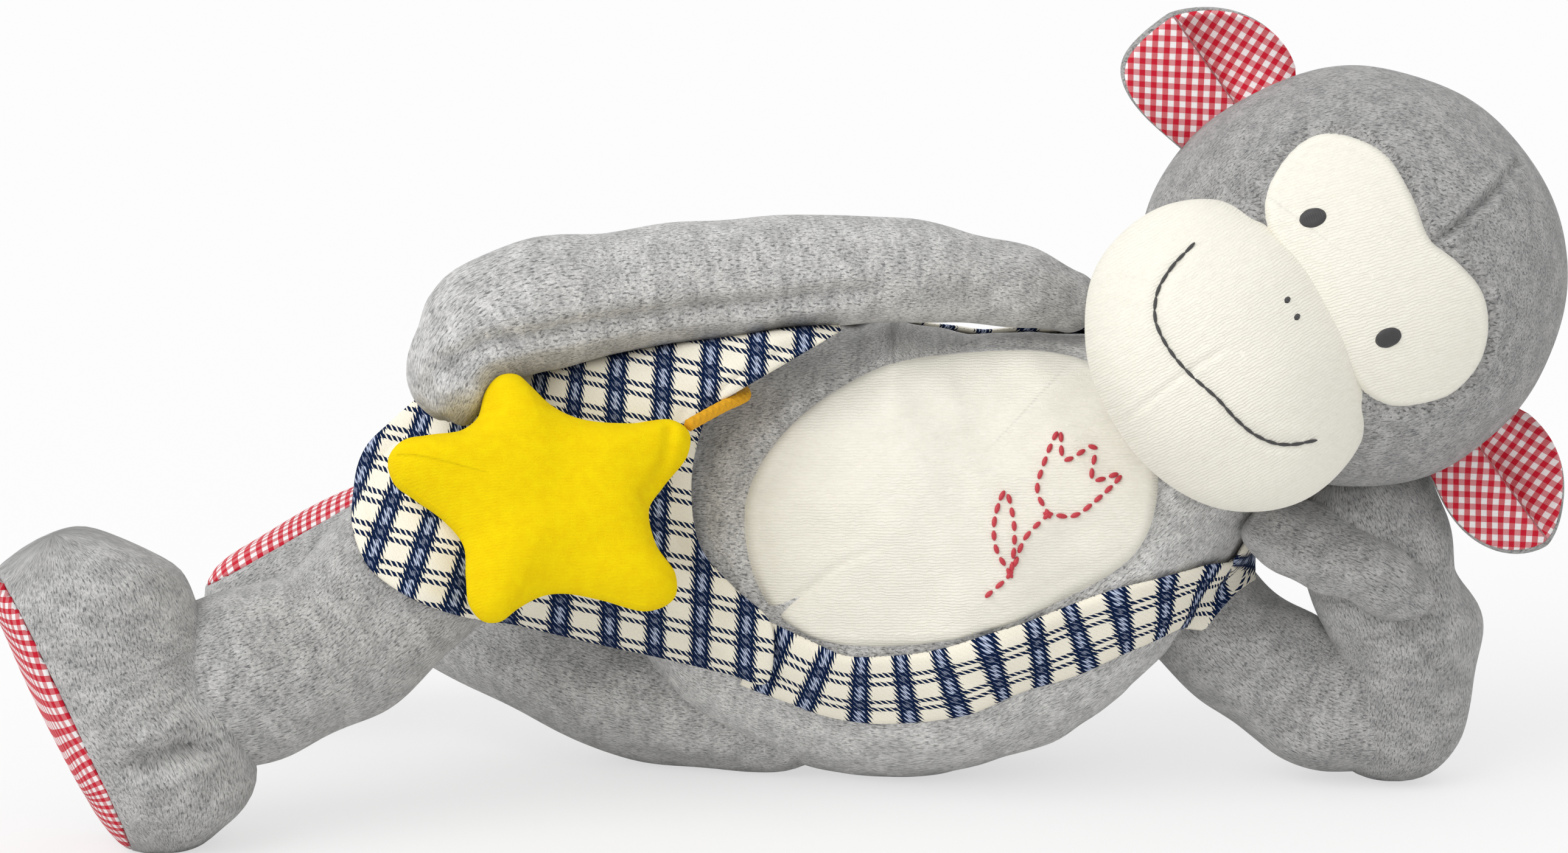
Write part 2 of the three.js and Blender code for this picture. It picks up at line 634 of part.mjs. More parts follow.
// Eyelet around the cord's way out
function lathed(profile, segments) {
  const points = profile.map(([radius, height]) => new THREE.Vector2(radius, height));
  return new THREE.LatheGeometry([...points, points[0].clone()], segments);
}

function facing(geometry, direction, place) {
  const turn = new THREE.Quaternion().setFromUnitVectors(new THREE.Vector3(0, 1, 0), direction);
  const matrix = new THREE.Matrix4().makeRotationFromQuaternion(turn).setPosition(place);
  return moved(geometry, matrix);
}

const eyeletBore = CORD_DIAMETER / 2 + 0.5;
const eyelet = lathed(
  [[eyeletBore, 0], [eyeletBore + EYELET_RIM, 0], [eyeletBore + EYELET_RIM, EYELET_THICK / 2], [eyeletBore + EYELET_RIM / 2, EYELET_THICK], [eyeletBore, EYELET_THICK / 2]],
  20,
);
const eyeletFoot = eyeletAt.clone().addScaledVector(eyeletOut, RUN_GAP);
place("eyelet", "brass", facing(eyelet, eyeletOut, eyeletFoot));
const eyeletRoom = new THREE.CylinderGeometry(eyeletBore + EYELET_RIM + RUN_GAP, eyeletBore + EYELET_RIM + RUN_GAP, 4 * EYELET_THICK, 20);
const eyeletClear = solidOf(facing(eyeletRoom, eyeletOut, eyeletFoot));
place("pull_cord", "cord_cotton", tube(cordRoute, CORD_DIAMETER / 2, CORD_SIDES, 16));

// Head, and the face sewn on it
place("head", "grey_velour", ball(HEAD_CENTRE, HEAD_RADIUS, ...HEAD_GRID));
const faceUp = PICTURE_RIGHT.clone().multiplyScalar(Math.cos(FACE_TURN));
faceUp.addScaledVector(PICTURE_UP, Math.sin(FACE_TURN));
const faceSide = PICTURE_RIGHT.clone().multiplyScalar(-Math.sin(FACE_TURN));
faceSide.addScaledVector(PICTURE_UP, Math.cos(FACE_TURN));

// A place on the face: to the monkey's right, towards its crown, and out towards the viewer
function onFace(side, up, out) {
  const spot = vector(HEAD_CENTRE).addScaledVector(faceSide, side);
  return spot.addScaledVector(faceUp, up).addScaledVector(FACE_OUT, out);
}

function headOut(side, up, grow) {
  return Math.sqrt(Math.max(1, (HEAD_RADIUS + grow) ** 2 - side ** 2 - up ** 2));
}

function muzzleOut(side, up, grow) {
  const x = side / (MUZZLE_HALF_WIDE + grow);
  const y = (up + MUZZLE_DROP) / (MUZZLE_HALF_LONG + grow);
  return MUZZLE_REACH + (MUZZLE_HALF_DEEP + grow) * Math.sqrt(Math.max(0.01, 1 - x * x - y * y));
}

function facePiece(outline, centre, rings, outAt, low, thick) {
  const under = (side, up) => onFace(side, up, outAt(side, up, low));
  const over = (side, up) => onFace(side, up, outAt(side, up, low + thick));
  return patch(outline, centre, rings, under, over);
}

const eyePatchHalf = [[0, 13], [8, 16.5], [17, 18], [27, 15.5], [33.5, 7], [35, -3], [31, -13], [20, -20], [0, -20]];
const eyePatchOther = eyePatchHalf.slice(1, -1).reverse().map(([side, up]) => [-side, up]);
const eyePatchOutline = smoothOutline([...eyePatchHalf, ...eyePatchOther], 40);
place("face_patch", "cream_velour", facePiece(eyePatchOutline, [0, -3], 4, headOut, SEWN_GAP + FACET_SAG, FACE_PATCH_THICK));

const muzzleRound = ball([0, 0, 0], 1, 24, 16);
const muzzlePoints = muzzleRound.getAttribute("position");
for (let i = 0; i < muzzlePoints.count; i++) {
  const out = muzzlePoints.getZ(i);
  muzzlePoints.setZ(i, out * (out > 0 ? MUZZLE_HALF_DEEP : CHIN_HALF_DEEP));
}
const muzzleTurn = new THREE.Matrix4().makeBasis(
  faceSide.clone().multiplyScalar(-MUZZLE_HALF_WIDE),
  faceUp.clone().multiplyScalar(MUZZLE_HALF_LONG),
  FACE_OUT,
);
muzzleTurn.setPosition(onFace(0, -MUZZLE_DROP, MUZZLE_REACH));
const faceClear = ball(HEAD_CENTRE, HEAD_RADIUS + SEWN_GAP + FACET_SAG + FACE_PATCH_THICK + RUN_GAP, 36, 24);
place("muzzle", "cream_velour", cut(solidOf(moved(muzzleRound, muzzleTurn)), solidOf(faceClear)));

function ovalOutline(centre, halfWide, halfTall, lean, count) {
  return Array.from({ length: count }, (_, step) => {
    const angle = (2 * Math.PI * step) / count;
    const x = halfWide * Math.cos(angle);
    const y = halfTall * Math.sin(angle);
    return [
      centre[0] + x * Math.cos(lean) - y * Math.sin(lean),
      centre[1] + x * Math.sin(lean) + y * Math.cos(lean),
    ];
  });
}

const eyeLow = 2 * SEWN_GAP + FACET_SAG + FACE_PATCH_THICK;
for (const [name, side] of [["eye_right", EYE_SPACING / 2 + 2], ["eye_left", 2 - EYE_SPACING / 2]]) {
  const outline = ovalOutline([side, -EYE_DROP], EYE_WIDE / 2, EYE_LONG / 2, Math.sign(side) * 0.3, 14);
  place(name, "dark_thread", facePiece(outline, [side, -EYE_DROP], 2, headOut, eyeLow, STITCH_THICK));
}
for (const [name, side] of [["nostril_right", 5.2], ["nostril_left", 0.4]]) {
  const outline = ovalOutline([side, -NOSTRIL_DROP], NOSTRIL_LONG / 3, NOSTRIL_LONG / 2, 0, 10);
  place(name, "dark_thread", facePiece(outline, [side, -NOSTRIL_DROP], 1, muzzleOut, SEWN_GAP, STITCH_THICK));
}
const smile = [[27, -38], [25.5, -44], [20, -50], [13, -52.5], [3, -51.5], [-8, -48.5], [-17, -45.5], [-23, -42], [-25.5, -36]];
const smileHeight = SEWN_GAP + STITCH_THICK / 2;
const smileRoute = smile.map(([side, up]) => onFace(side, up, muzzleOut(side, up, smileHeight + 0.1)));
place("mouth_stitching", "dark_thread", tube(smileRoute, STITCH_THICK / 2, 6, 24));

// Ears: a velour back and a gingham lining, cupped, sewn along the side of the head
const EARS = {
  right: { middle: THREE.MathUtils.degToRad(-5), chin: -1, reach: EAR_REACH },
  left: { middle: THREE.MathUtils.degToRad(173.5), chin: 1, reach: EAR_REACH + 4 },
};
function earPlate(ear, low, thick, shorter) {
  const columns = 12;
  const steps = 4;
  const rows = Array.from({ length: steps + 1 }, (_, i) =>
    Array.from({ length: columns + 1 }, (_, k) => [-Math.cos((Math.PI * k) / columns), i / steps]),
  );
  const at = ([across, out], height) => {
    const angle = ear.middle + (across * EAR_BASE) / 2 / HEAD_RADIUS;
    const fullness = across * ear.chin > 0 ? EAR_FULL_SIDE : EAR_SLOPED_SIDE;
    const swell = Math.sqrt(Math.max(0, 1 - Math.abs(across) ** fullness));
    const rise = EAR_ROOT + (ear.reach - shorter - EAR_ROOT) * swell;
    const radius = HEAD_RADIUS + RUN_GAP + out * rise;
    const forward = height - EAR_BACK_THICK + EAR_CUP * out * (across * across - 0.3);
    return onFace(radius * Math.cos(angle), radius * Math.sin(angle), forward);
  };
  return slab(rows, at, low, thick);
}

const forearmRoom = room(forearmForm, ELBOW, [1, 0, 0], ELBOW_TURNS, RUN_GAP, 2 * FOREARM_REACH);
for (const [side, ear] of Object.entries(EARS)) {
  const back = solidOf(earPlate(ear, 0, EAR_BACK_THICK, 0));
  const lining = solidOf(earPlate(ear, EAR_BACK_THICK + SEWN_GAP, EAR_LINING_THICK, 1));
  place("ear_back_" + side, "grey_velour", cut(back, forearmRoom));
  place("ear_lining_" + side, "gingham", cut(lining, forearmRoom));
}

// Neck strap: from the apron's lower corner over one shoulder, behind the neck and back
const strapStops = [
  [0.285, 117], [0.36, 115], [0.43, 114], [0.51, 117], [0.58, 121], [0.65, 128], [0.72, 139],
  [0.79, 155], [0.85, 178], [0.885, 205], [0.895, 240], [0.895, 280], [0.895, 315], [0.885, 335],
  [0.84, 345], [0.76, 349], [0.64, 351], [0.5, 354], [0.38, 360], [0.3, 367],
].map(([share, degrees]) => [share, THREE.MathUtils.degToRad(degrees)]);
const strapSteps = 38;
const strapClear = solidOf(ribbon(torsoForm, strapStops, STRAP_WIDE + 2 * RUN_GAP, -1, STRAP_THICK + CLOTH_GAP + RUN_GAP + 1, strapSteps));

// Apron: a rounded lined cloth over the belly's end and both thighs
const apronOutline = smoothOutline(
  [
    [6, 108], [-7.5, 104.5], [-16, 97.5], [-20.5, 87], [-22.4, 75], [-20.2, 60.3], [-12, 50.5], [-3.5, 42.5],
    [-2.5, 34], [-4.5, 26.8], [-13, 28.9], [-27.7, 32.2], [-45, 36], [-60.1, 39.6], [-74, 43.3], [-84, 46.8],
    [-92, 51], [-98.6, 56.6], [-102.9, 66], [-104.3, 76.5], [-101.5, 84.5], [-95, 91], [-86, 97], [-76, 102.5],
    [-64, 105.8], [-50, 107.4], [-35, 108.4], [-20, 108.8], [-6, 109],
  ],
  52,
);
const lookBehind = [torsoForm, legRightForm, legLeftForm].map((form) => looker(form.shape(36, 16, CLOTH_GAP)));
function outOf(y, up) {
  return (up * PICTURE_UP.y - y) / -FACE_OUT.y;
}

function blendHigher(a, b, soft) {
  return (a + b + Math.sqrt((a - b) ** 2 + soft * soft)) / 2;
}

function apronDepth(x, up, share) {
  let out = outOf(APRON_FRONT + APRON_FALL * share * share, up);
  for (const look of lookBehind) {
    const hit = look(x, up);
    if (hit) out = blendHigher(out, hit.spot.dot(FACE_OUT), 3);
  }
  return out;
}

function inPicture(x, up, out) {
  const spot = PICTURE_RIGHT.clone().multiplyScalar(x);
  return spot.addScaledVector(PICTURE_UP, up).addScaledVector(FACE_OUT, out);
}

function apronShape(low, thick) {
  const under = (x, up, share) => inPicture(x, up, apronDepth(x, up, share) + low);
  const over = (x, up, share) => inPicture(x, up, apronDepth(x, up, share) + low + thick);
  return patch(apronOutline, [-55, 72], 6, under, over);
}

const armRightClear = solidOf(armRightForm.shape(16, 14, RUN_GAP));
const legRightClear = solidOf(legRightForm.shape(18, 10, RUN_GAP));
const legRightPaths = HIP_RIGHT_TURNS.map((degrees) => turned(legRightClear, HIP_RIGHT, degrees));
const apron = cut(solidOf(apronShape(RUN_GAP, APRON_THICK)), armRightClear, ...legRightPaths);
const apronClear = solidOf(apronShape(0, APRON_THICK + 2 * RUN_GAP));
place("apron", "plaid", apron, CLOTH_TOLERANCE);
const torsoSewn = solidOf(torsoForm.shape(...TORSO_GRID, SEWN_GAP));
const torsoClear = solidOf(torsoForm.shape(...TORSO_GRID, RUN_GAP));
const strap = cut(
  solidOf(ribbon(torsoForm, strapStops, STRAP_WIDE, CLOTH_GAP, STRAP_THICK, strapSteps)),
  torsoClear,
  headClear,
  apronClear,
  ...limbRoom.slice(-2),
);
place("neck_strap", "plaid", strap);

// Belly panel, and the stitched tulip on it
const panelAt = [SEWN_GAP, SEWN_GAP + PANEL_THICK].map((height) => {
  const look = looker(torsoForm.shape(...TORSO_GRID, height));
  return (x, up) => look(x, up).spot;
});
const panelOutline = smoothOutline(
  [
    [72, 107], [46, 108.5], [23, 104.5], [2, 91], [-9, 75], [-10, 62], [-5, 47], [6, 38], [21, 35.5],
    [42, 37.5], [66, 46], [86, 59], [91, 75], [86, 97],
  ],
  34,
);
const panel = cut(
  solidOf(patch(panelOutline, [40, 74], 6, ...panelAt)),
  torsoSewn,
  headClear,
  strapClear,
  apronClear,
  armRightClear,
  ...limbRoom,
);
place("belly_panel", "cream_velour", panel, CLOTH_TOLERANCE);
const tulip = [
  [48, 66], [51, 60.5], [56.5, 60], [61, 64.5], [63, 71], [60, 77], [62, 83], [70, 86], [78, 81.5], [79.5, 73],
  [73.5, 67.5], [67.5, 68.5],
];
const lookStitch = looker(torsoForm.shape(...TORSO_GRID, 2 * SEWN_GAP + PANEL_THICK + THREAD_RADIUS + 0.1));
place("belly_stitching", "red_thread", tube(tulip.map(([x, up]) => lookStitch(x, up).spot), THREAD_RADIUS, 6, 36));

// Star: two stuffed halves with a seam around, resting on the apron
const starOutline = smoothOutline(
  [
    [-93.4, 82], [-90.5, 85.8], [-84.5, 87], [-76.7, 88.2], [-72.4, 91.6], [-70.4, 98], [-67.5, 101.2],
    [-63.6, 101.4], [-60.2, 98.6], [-55.5, 94.2], [-48.3, 91], [-36.9, 89.8], [-26.8, 90.6], [-22.6, 87.6], [-22.9, 82.5],
    [-28.4, 75.3], [-32, 69.6], [-30.4, 60.9], [-25.8, 54], [-26, 48.8], [-31.4, 46.2], [-42.9, 48.8],
    [-51.6, 50.2], [-56.8, 49.6], [-62.4, 46.8], [-66.9, 43.6], [-71, 43.8], [-74.2, 47.6], [-75, 54], [-75.6, 61.6],
    [-80.4, 67.7], [-87, 72.6], [-92, 76.6],
  ].map(([x, up]) => [STAR_CENTRE[0] + (x - STAR_CENTRE[0]) * STAR_SCALE, STAR_CENTRE[1] + (up - STAR_CENTRE[1]) * STAR_SCALE]),
  48,
);
const starOut = outOf(STAR_FRONT, STAR_CENTRE[1]);
function starHalf(sign) {
  const near = (x, up) => inPicture(x, up, starOut + (sign * SEWN_GAP) / 2);
  const far = (x, up, share) =>
    inPicture(x, up, starOut + sign * (SEWN_GAP + STAR_HALF_THICK * Math.sqrt(Math.max(0, 1 - share ** 2.4))));
  return patch(starOutline, STAR_CENTRE, 4, sign > 0 ? near : far, sign > 0 ? far : near);
}

place("star_front", "yellow_velour", cut(solidOf(starHalf(1)), armRightClear));
place("star_back", "yellow_velour", cut(solidOf(starHalf(-1)), armRightClear, solidOf(apronShape(-20, APRON_THICK + 20 + RUN_GAP))));

// Arms
const torsoOutside = torsoClear.subtract(solidOf(ball(SHOULDER_RIGHT, 8 + SOCKET_GAP, 20, 14)));
const armRight = cut(solidOf(armRightForm.shape(16, 14)), headClear, torsoOutside, strapClear);
place("arm_right", "grey_velour", armRight);
const upperArm = cut(
  solidOf(upperArmForm.shape(18, 6)),
  ground,
  headClear,
  room(forearmForm, ELBOW, [1, 0, 0], ELBOW_TURNS, SOCKET_GAP, 32),
);
place("upper_arm_left", "grey_velour", upperArm);
const underHead = solidOf(ball(ELBOW, FOREARM_REACH, 40, 28));
const forearm = largest(cut(solidOf(forearmForm.shape(18, 8)), ground).intersect(underHead));
place("forearm_left", "grey_velour", forearm);
const handLeft = cut(
  largest(solidOf(handLeftForm.shape(14, 6)).intersect(underHead)),
  solidOf(forearmForm.shape(18, 8, RUN_GAP)),
  headClear,
  torsoClear,
  strapClear,
);
place("hand_left", "grey_velour", handLeft);

// Legs and feet: each ankle is sewn to its foot, and a gingham sole closes the foot
function splitFoot(form, leg, soleNormal, solePoint) {
  const foot = cut(solidOf(form.shape(18, 8)), ground);
  const normal = vector(soleNormal).normalize();
  const turn = new THREE.Quaternion().setFromUnitVectors(new THREE.Vector3(0, 0, 1), normal);
  const place = new THREE.Matrix4().makeRotationFromQuaternion(turn).setPosition(vector(solePoint));
  const beyond = (depth) => solidOf(moved(block([-90, -90, -depth], [90, 90, 90]), place));
  const sole = largest(foot.intersect(beyond(SOLE_THICK)));
  const velour = cut(foot, beyond(SOLE_THICK + SEWN_GAP), leg);
  return [velour, sole];
}

const legs = {
  right: { form: legRightForm, foot: footRightForm, soleNormal: [-0.9, -0.2, 0], solePoint: [-184, -52, 52] },
  left: { form: legLeftForm, foot: footLeftForm, soleNormal: [-0.5, 0.05, 0.86], solePoint: [-125, 48, 53] },
};
for (const [side, leg] of Object.entries(legs)) {
  const ankle = solidOf(leg.form.shape(18, 10, RUN_GAP));
  const [foot, sole] = splitFoot(leg.foot, ankle, leg.soleNormal, leg.solePoint);
  place("leg_" + side, "grey_velour", cut(solidOf(leg.form.shape(18, 10)), ground, eyeletClear));
  place("foot_" + side, "grey_velour", foot);
  place("sole_" + side, "gingham", sole);
}

// Musical movement: a case with its lid, the cord reel, the pin cylinder, the comb and the governor
function inCase(u, y, v) {
  return new THREE.Vector3(CASE_CENTRE[0] + u, CASE_CENTRE[1] + y, CASE_CENTRE[2] + v);
}

function across(geometry, place) {
  return moved(geometry, new THREE.Matrix4().setPosition(place));
}

function pin(place, from, to, radius, sides = 14) {
  const shape = new THREE.CylinderGeometry(radius, radius, to - from, sides);
  return across(shape, place.clone().setY(CASE_CENTRE[1] + (from + to) / 2));
}

function gear(teeth, phase) {
  const pitch = (GEAR_MODULE * teeth) / 2;
  const outline = [];
  for (let tooth = 0; tooth < teeth; tooth++) {
    for (const [share, radius] of [[-0.24, pitch - GEAR_MODULE], [-0.1, pitch + 0.8 * GEAR_MODULE], [0.1, pitch + 0.8 * GEAR_MODULE], [0.24, pitch - GEAR_MODULE]]) {
      const angle = (2 * Math.PI * (tooth + share + phase)) / teeth;
      outline.push(new THREE.Vector2(radius * Math.cos(angle), radius * Math.sin(angle)));
    }
  }
  const shape = new THREE.ExtrudeGeometry(new THREE.Shape(outline), { depth: GEAR_THICK, bevelEnabled: false });
  return shape.rotateX(-Math.PI / 2);
}

const inner = CASE_DEEP / 2 - CASE_WALL;
const gearLow = -2.4;
const cylinderAway = (GEAR_MODULE * (REEL_TEETH + CYLINDER_TEETH)) / 2 + GEAR_SLACK;
const governorAway = (GEAR_MODULE * (CYLINDER_TEETH + GOVERNOR_TEETH)) / 2 + GEAR_SLACK;
const governorTurn = THREE.MathUtils.degToRad(67.5);
const reelPlace = inCase(REEL_ALONG, 0, 0);
const cylinderPlace = inCase(REEL_ALONG + cylinderAway, 0, 0);
const governorPlace = inCase(
  REEL_ALONG + cylinderAway + governorAway * Math.cos(governorTurn),
  0,
  governorAway * Math.sin(governorTurn),
);
const axles = [
  ["reel_axle", reelPlace],
  ["cylinder_axle", cylinderPlace],
  ["governor_axle", governorPlace],
];
const axleHoles = axles.map(([, place]) => solidOf(pin(place, -20, 20, AXLE_RADIUS + AXLE_GAP)));

const screwSpot = [CASE_LONG / 2 - SCREW_INSET, CASE_WIDE / 2 - SCREW_INSET];
const screwPlaces = [inCase(screwSpot[0], 0, screwSpot[1]), inCase(-screwSpot[0], 0, -screwSpot[1])];
const screwHoles = screwPlaces.map((place) => solidOf(pin(place, -3, 20, SCREW_RADIUS + AXLE_GAP)));
const caseBox = (gap, from, to) =>
  solidOf(
    block(
      [CASE_CENTRE[0] - CASE_LONG / 2 + gap, CASE_CENTRE[1] + from, CASE_CENTRE[2] - CASE_WIDE / 2 + gap],
      [CASE_CENTRE[0] + CASE_LONG / 2 - gap, CASE_CENTRE[1] + to, CASE_CENTRE[2] + CASE_WIDE / 2 - gap],
    ),
  );
const outlet = inCase(REEL_ALONG - REEL_RADIUS, -REEL_SIDE, CASE_WIDE / 2);
const outletHole = new THREE.CylinderGeometry(CORD_DIAMETER / 2 + 0.6, CORD_DIAMETER / 2 + 0.6, 8, 14);
const caseShell = caseBox(0, -CASE_DEEP / 2, inner - SEWN_GAP).subtract(caseBox(CASE_WALL, -inner, 40));
const posts = screwPlaces.map((place) => solidOf(pin(place, -inner - 0.5, inner - SEWN_GAP, POST_RADIUS)));
const caseBase = cut(
  posts.reduce((body, post) => body.add(post), caseShell),
  ...axleHoles,
  ...screwHoles,
  solidOf(across(outletHole.rotateX(Math.PI / 2), outlet)),
);
place("case_base", "white_plastic", caseBase);
place("case_lid", "white_plastic", cut(caseBox(0, inner, CASE_DEEP / 2), ...axleHoles, ...screwHoles));
screwPlaces.forEach((place_, i) => {
  const shank = solidOf(pin(place_, -2, CASE_DEEP / 2 + SEWN_GAP, SCREW_RADIUS));
  const head = solidOf(pin(place_, CASE_DEEP / 2 + SEWN_GAP - 0.01, CASE_DEEP / 2 + SEWN_GAP + 0.6, SCREW_RADIUS * 2));
  place("case_screw_" + (i + 1), "steel", shank.add(head));
});
for (const [name, spot] of axles) place(name, "steel", pin(spot, -CASE_DEEP / 2 + 0.2, CASE_DEEP / 2 - 0.2, AXLE_RADIUS));

const bore = (spot) => solidOf(pin(spot, -20, 20, AXLE_RADIUS + AXLE_GAP));
const reelLow = -inner + 0.3;
const drum = lathed(
  [
    [1, reelLow], [REEL_RADIUS + 1.8, reelLow], [REEL_RADIUS + 1.8, reelLow + 0.7], [REEL_RADIUS - 1.8, reelLow + 0.7],
    [REEL_RADIUS - 1.8, reelLow + REEL_WIDE - 0.7], [REEL_RADIUS + 1.8, reelLow + REEL_WIDE - 0.7],
    [REEL_RADIUS + 1.8, reelLow + REEL_WIDE], [4, reelLow + REEL_WIDE], [4, gearLow + 0.1], [1, gearLow + 0.1],
  ],
  28,
);
const reelGear = solidOf(across(gear(REEL_TEETH, 0), reelPlace.clone().setY(CASE_CENTRE[1] + gearLow)));
place("cord_reel", "nylon", cut(solidOf(across(drum, reelPlace)).add(reelGear), bore(reelPlace)));
const cylinderGear = solidOf(across(gear(CYLINDER_TEETH, 0.5), cylinderPlace.clone().setY(CASE_CENTRE[1] + gearLow)));
const barrel = solidOf(pin(cylinderPlace, gearLow + GEAR_THICK - 0.1, gearLow + GEAR_THICK + CYLINDER_LONG, CYLINDER_RADIUS, 20));
place("pin_cylinder", "brass", cut(barrel.add(cylinderGear), bore(cylinderPlace)));
const governorGear = solidOf(across(gear(GOVERNOR_TEETH, 0.5), governorPlace.clone().setY(CASE_CENTRE[1] + gearLow)));
const hub = solidOf(pin(governorPlace, gearLow + GEAR_THICK - 0.1, gearLow + GEAR_THICK + CYLINDER_LONG, 2));
const wing = block([-FAN_REACH, 0.2, -0.4], [FAN_REACH, CYLINDER_LONG - 0.6, 0.4]);
const wings = solidOf(across(wing, governorPlace.clone().setY(CASE_CENTRE[1] + gearLow + GEAR_THICK)));
place("governor", "nylon", cut(governorGear.add(hub).add(wings), bore(governorPlace)));
const combLow = gearLow + GEAR_THICK + 0.2;
const combHigh = combLow + CYLINDER_LONG - 0.4;
const combPlace = cylinderPlace.clone();
const combBlock = block([-2.5, combLow, -CASE_WIDE / 2 + CASE_WALL + SEWN_GAP], [2.5, combHigh, -12.4]);
const combPlate = block([-0.3, combLow, -12.6], [0.3, combHigh, -CYLINDER_RADIUS - 0.5]);
let comb = solidOf(across(combBlock, combPlace)).add(solidOf(across(combPlate, combPlace)));
for (let slit = 1; slit < COMB_TEETH; slit++) {
  const at = combLow + ((combHigh - combLow) * slit) / COMB_TEETH;
  comb = comb.subtract(solidOf(across(block([-1, at - 0.08, -11.8], [1, at + 0.08, 0]), combPlace)));
}
place("comb", "steel", comb);
place("cord_inside", "cord_cotton", tube(cordInside, CORD_DIAMETER / 2, CORD_SIDES, 22));

// The origin is under the middle of the whole toy
const bounds = new THREE.Box3().setFromObject(monkey, true);
const middle = bounds.getCenter(new THREE.Vector3());
monkey.position.set(-middle.x, -middle.y, -bounds.min.z);
export default monkey;
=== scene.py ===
import math

import bpy
import numpy as np
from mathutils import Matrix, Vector
from mathutils.bvhtree import BVHTree


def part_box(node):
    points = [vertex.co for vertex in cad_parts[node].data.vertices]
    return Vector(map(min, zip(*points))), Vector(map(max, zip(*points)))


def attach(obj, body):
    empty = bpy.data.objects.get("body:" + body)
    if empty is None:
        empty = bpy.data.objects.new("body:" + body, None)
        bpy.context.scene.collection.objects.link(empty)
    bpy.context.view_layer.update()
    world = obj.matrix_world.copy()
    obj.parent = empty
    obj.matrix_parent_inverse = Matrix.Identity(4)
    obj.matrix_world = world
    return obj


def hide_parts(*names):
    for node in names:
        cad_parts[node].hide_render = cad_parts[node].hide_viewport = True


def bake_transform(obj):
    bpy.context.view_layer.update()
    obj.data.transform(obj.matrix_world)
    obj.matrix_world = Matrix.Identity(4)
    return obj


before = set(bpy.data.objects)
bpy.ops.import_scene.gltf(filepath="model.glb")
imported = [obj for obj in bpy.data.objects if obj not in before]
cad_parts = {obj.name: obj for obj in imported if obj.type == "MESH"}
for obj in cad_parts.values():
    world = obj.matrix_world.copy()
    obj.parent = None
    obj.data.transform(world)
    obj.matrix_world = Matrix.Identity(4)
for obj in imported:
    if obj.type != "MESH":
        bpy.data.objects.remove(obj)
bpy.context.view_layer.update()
scene = bpy.context.scene

MM = 0.001
HEAD_CENTRE = np.array([139.0, -4.0, 129.5])
HEAD_RADIUS = 51.0
head_low, head_high = (np.array(corner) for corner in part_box("head"))
SHIFT = (head_low + head_high) / 2 / MM - HEAD_CENTRE
VIEW_TILT = math.radians(12)
RIGHT = np.array([1.0, 0.0, 0.0])
OUT = np.array([0.0, -math.cos(VIEW_TILT), math.sin(VIEW_TILT)])
UP = np.array([0.0, math.sin(VIEW_TILT), math.cos(VIEW_TILT)])


def row(points):
    return (np.asarray(points, float) + SHIFT) * MM


# Camera: a long lens that looks down by 12 degrees. A photo pixel is 0.15 mm wide at its target.
PHOTO_WIDE, PHOTO_TALL = 2576, 1402
PIXEL = 0.15
TARGET = np.array([0.0, 0.0, 91.5])
CAMERA_AWAY = 1073.0
CAMERA_AT = TARGET + CAMERA_AWAY * OUT
camera_data = bpy.data.cameras.new("camera")
camera_data.sensor_width = 36
camera_data.lens = 36 * CAMERA_AWAY / (PHOTO_WIDE * PIXEL)
camera = bpy.data.objects.new("camera", camera_data)
camera.location = row(CAMERA_AT)
camera.rotation_euler = (math.pi / 2 - VIEW_TILT, 0, 0)
scene.collection.objects.link(camera)
scene.camera = camera


def unit(vectors):
    return vectors / np.maximum(np.linalg.norm(vectors, axis=-1, keepdims=True), 1e-12)


def pixel_ray(px, py):
    """The line of sight through a photo pixel."""
    aside = (px - PHOTO_WIDE / 2) * PIXEL
    above = (PHOTO_TALL / 2 - py) * PIXEL
    return CAMERA_AT, unit(aside * RIGHT + above * UP - CAMERA_AWAY * OUT)


# Pull cord: braided cotton, 3 mm thick and 50 mm long. It leaves the belly through the eyelet
# beside the apron's neckline, lies over the cloth's edge and is sewn into the star's right tip.
def run_lengths(points):
    """How far along a line each of its points is."""
    legs = np.linalg.norm(np.diff(points, axis=0), axis=1)
    return np.concatenate([[0], np.cumsum(legs)])


class Smooth:
    """A smooth line through points, the centripetal curve that three.js draws."""

    def __init__(self, points, closed=False):
        points = np.asarray(points, float)
        count = len(points)
        self.segments = count if closed else count - 1
        index = np.arange(self.segments)
        if closed:
            before, after = points[index - 1], points[(index + 2) % count]
        else:
            longer = np.vstack([2 * points[0] - points[1], points, 2 * points[-1] - points[-2]])
            before, after = longer[index], longer[index + 3]
        start, end = points[index], points[(index + 1) % count]

        def gap(a, b):
            return ((b - a) ** 2).sum(1, keepdims=True) ** 0.25

        middle = gap(start, end)
        middle = np.where(middle < 1e-4, 1.0, middle)
        first, last = gap(before, start), gap(end, after)
        first = np.where(first < 1e-4, middle, first)
        last = np.where(last < 1e-4, middle, last)
        step = end - start
        leave = (start - before) / first - (end - before) / (first + middle) + step / middle
        reach = step / middle - (after - start) / (middle + last) + (after - end) / last
        leave, reach = leave * middle, reach * middle
        self.parts = [start, leave, 3 * step - 2 * leave - reach, leave + reach - 2 * step]
        self.table = np.linspace(0, 1, 1201)
        self.lengths = run_lengths(self.at(self.table))
        self.long = self.lengths[-1]

    def at(self, t):
        place = np.clip(np.asarray(t, float), 0, 1) * self.segments
        index = np.minimum(place.astype(int), self.segments - 1)
        w = (place - index)[..., None]
        a, b, c, d = (part[index] for part in self.parts)
        return a + w * (b + w * (c + w * d))

    def spaced(self, share):
        return self.at(np.interp(share, self.lengths / self.long, self.table))


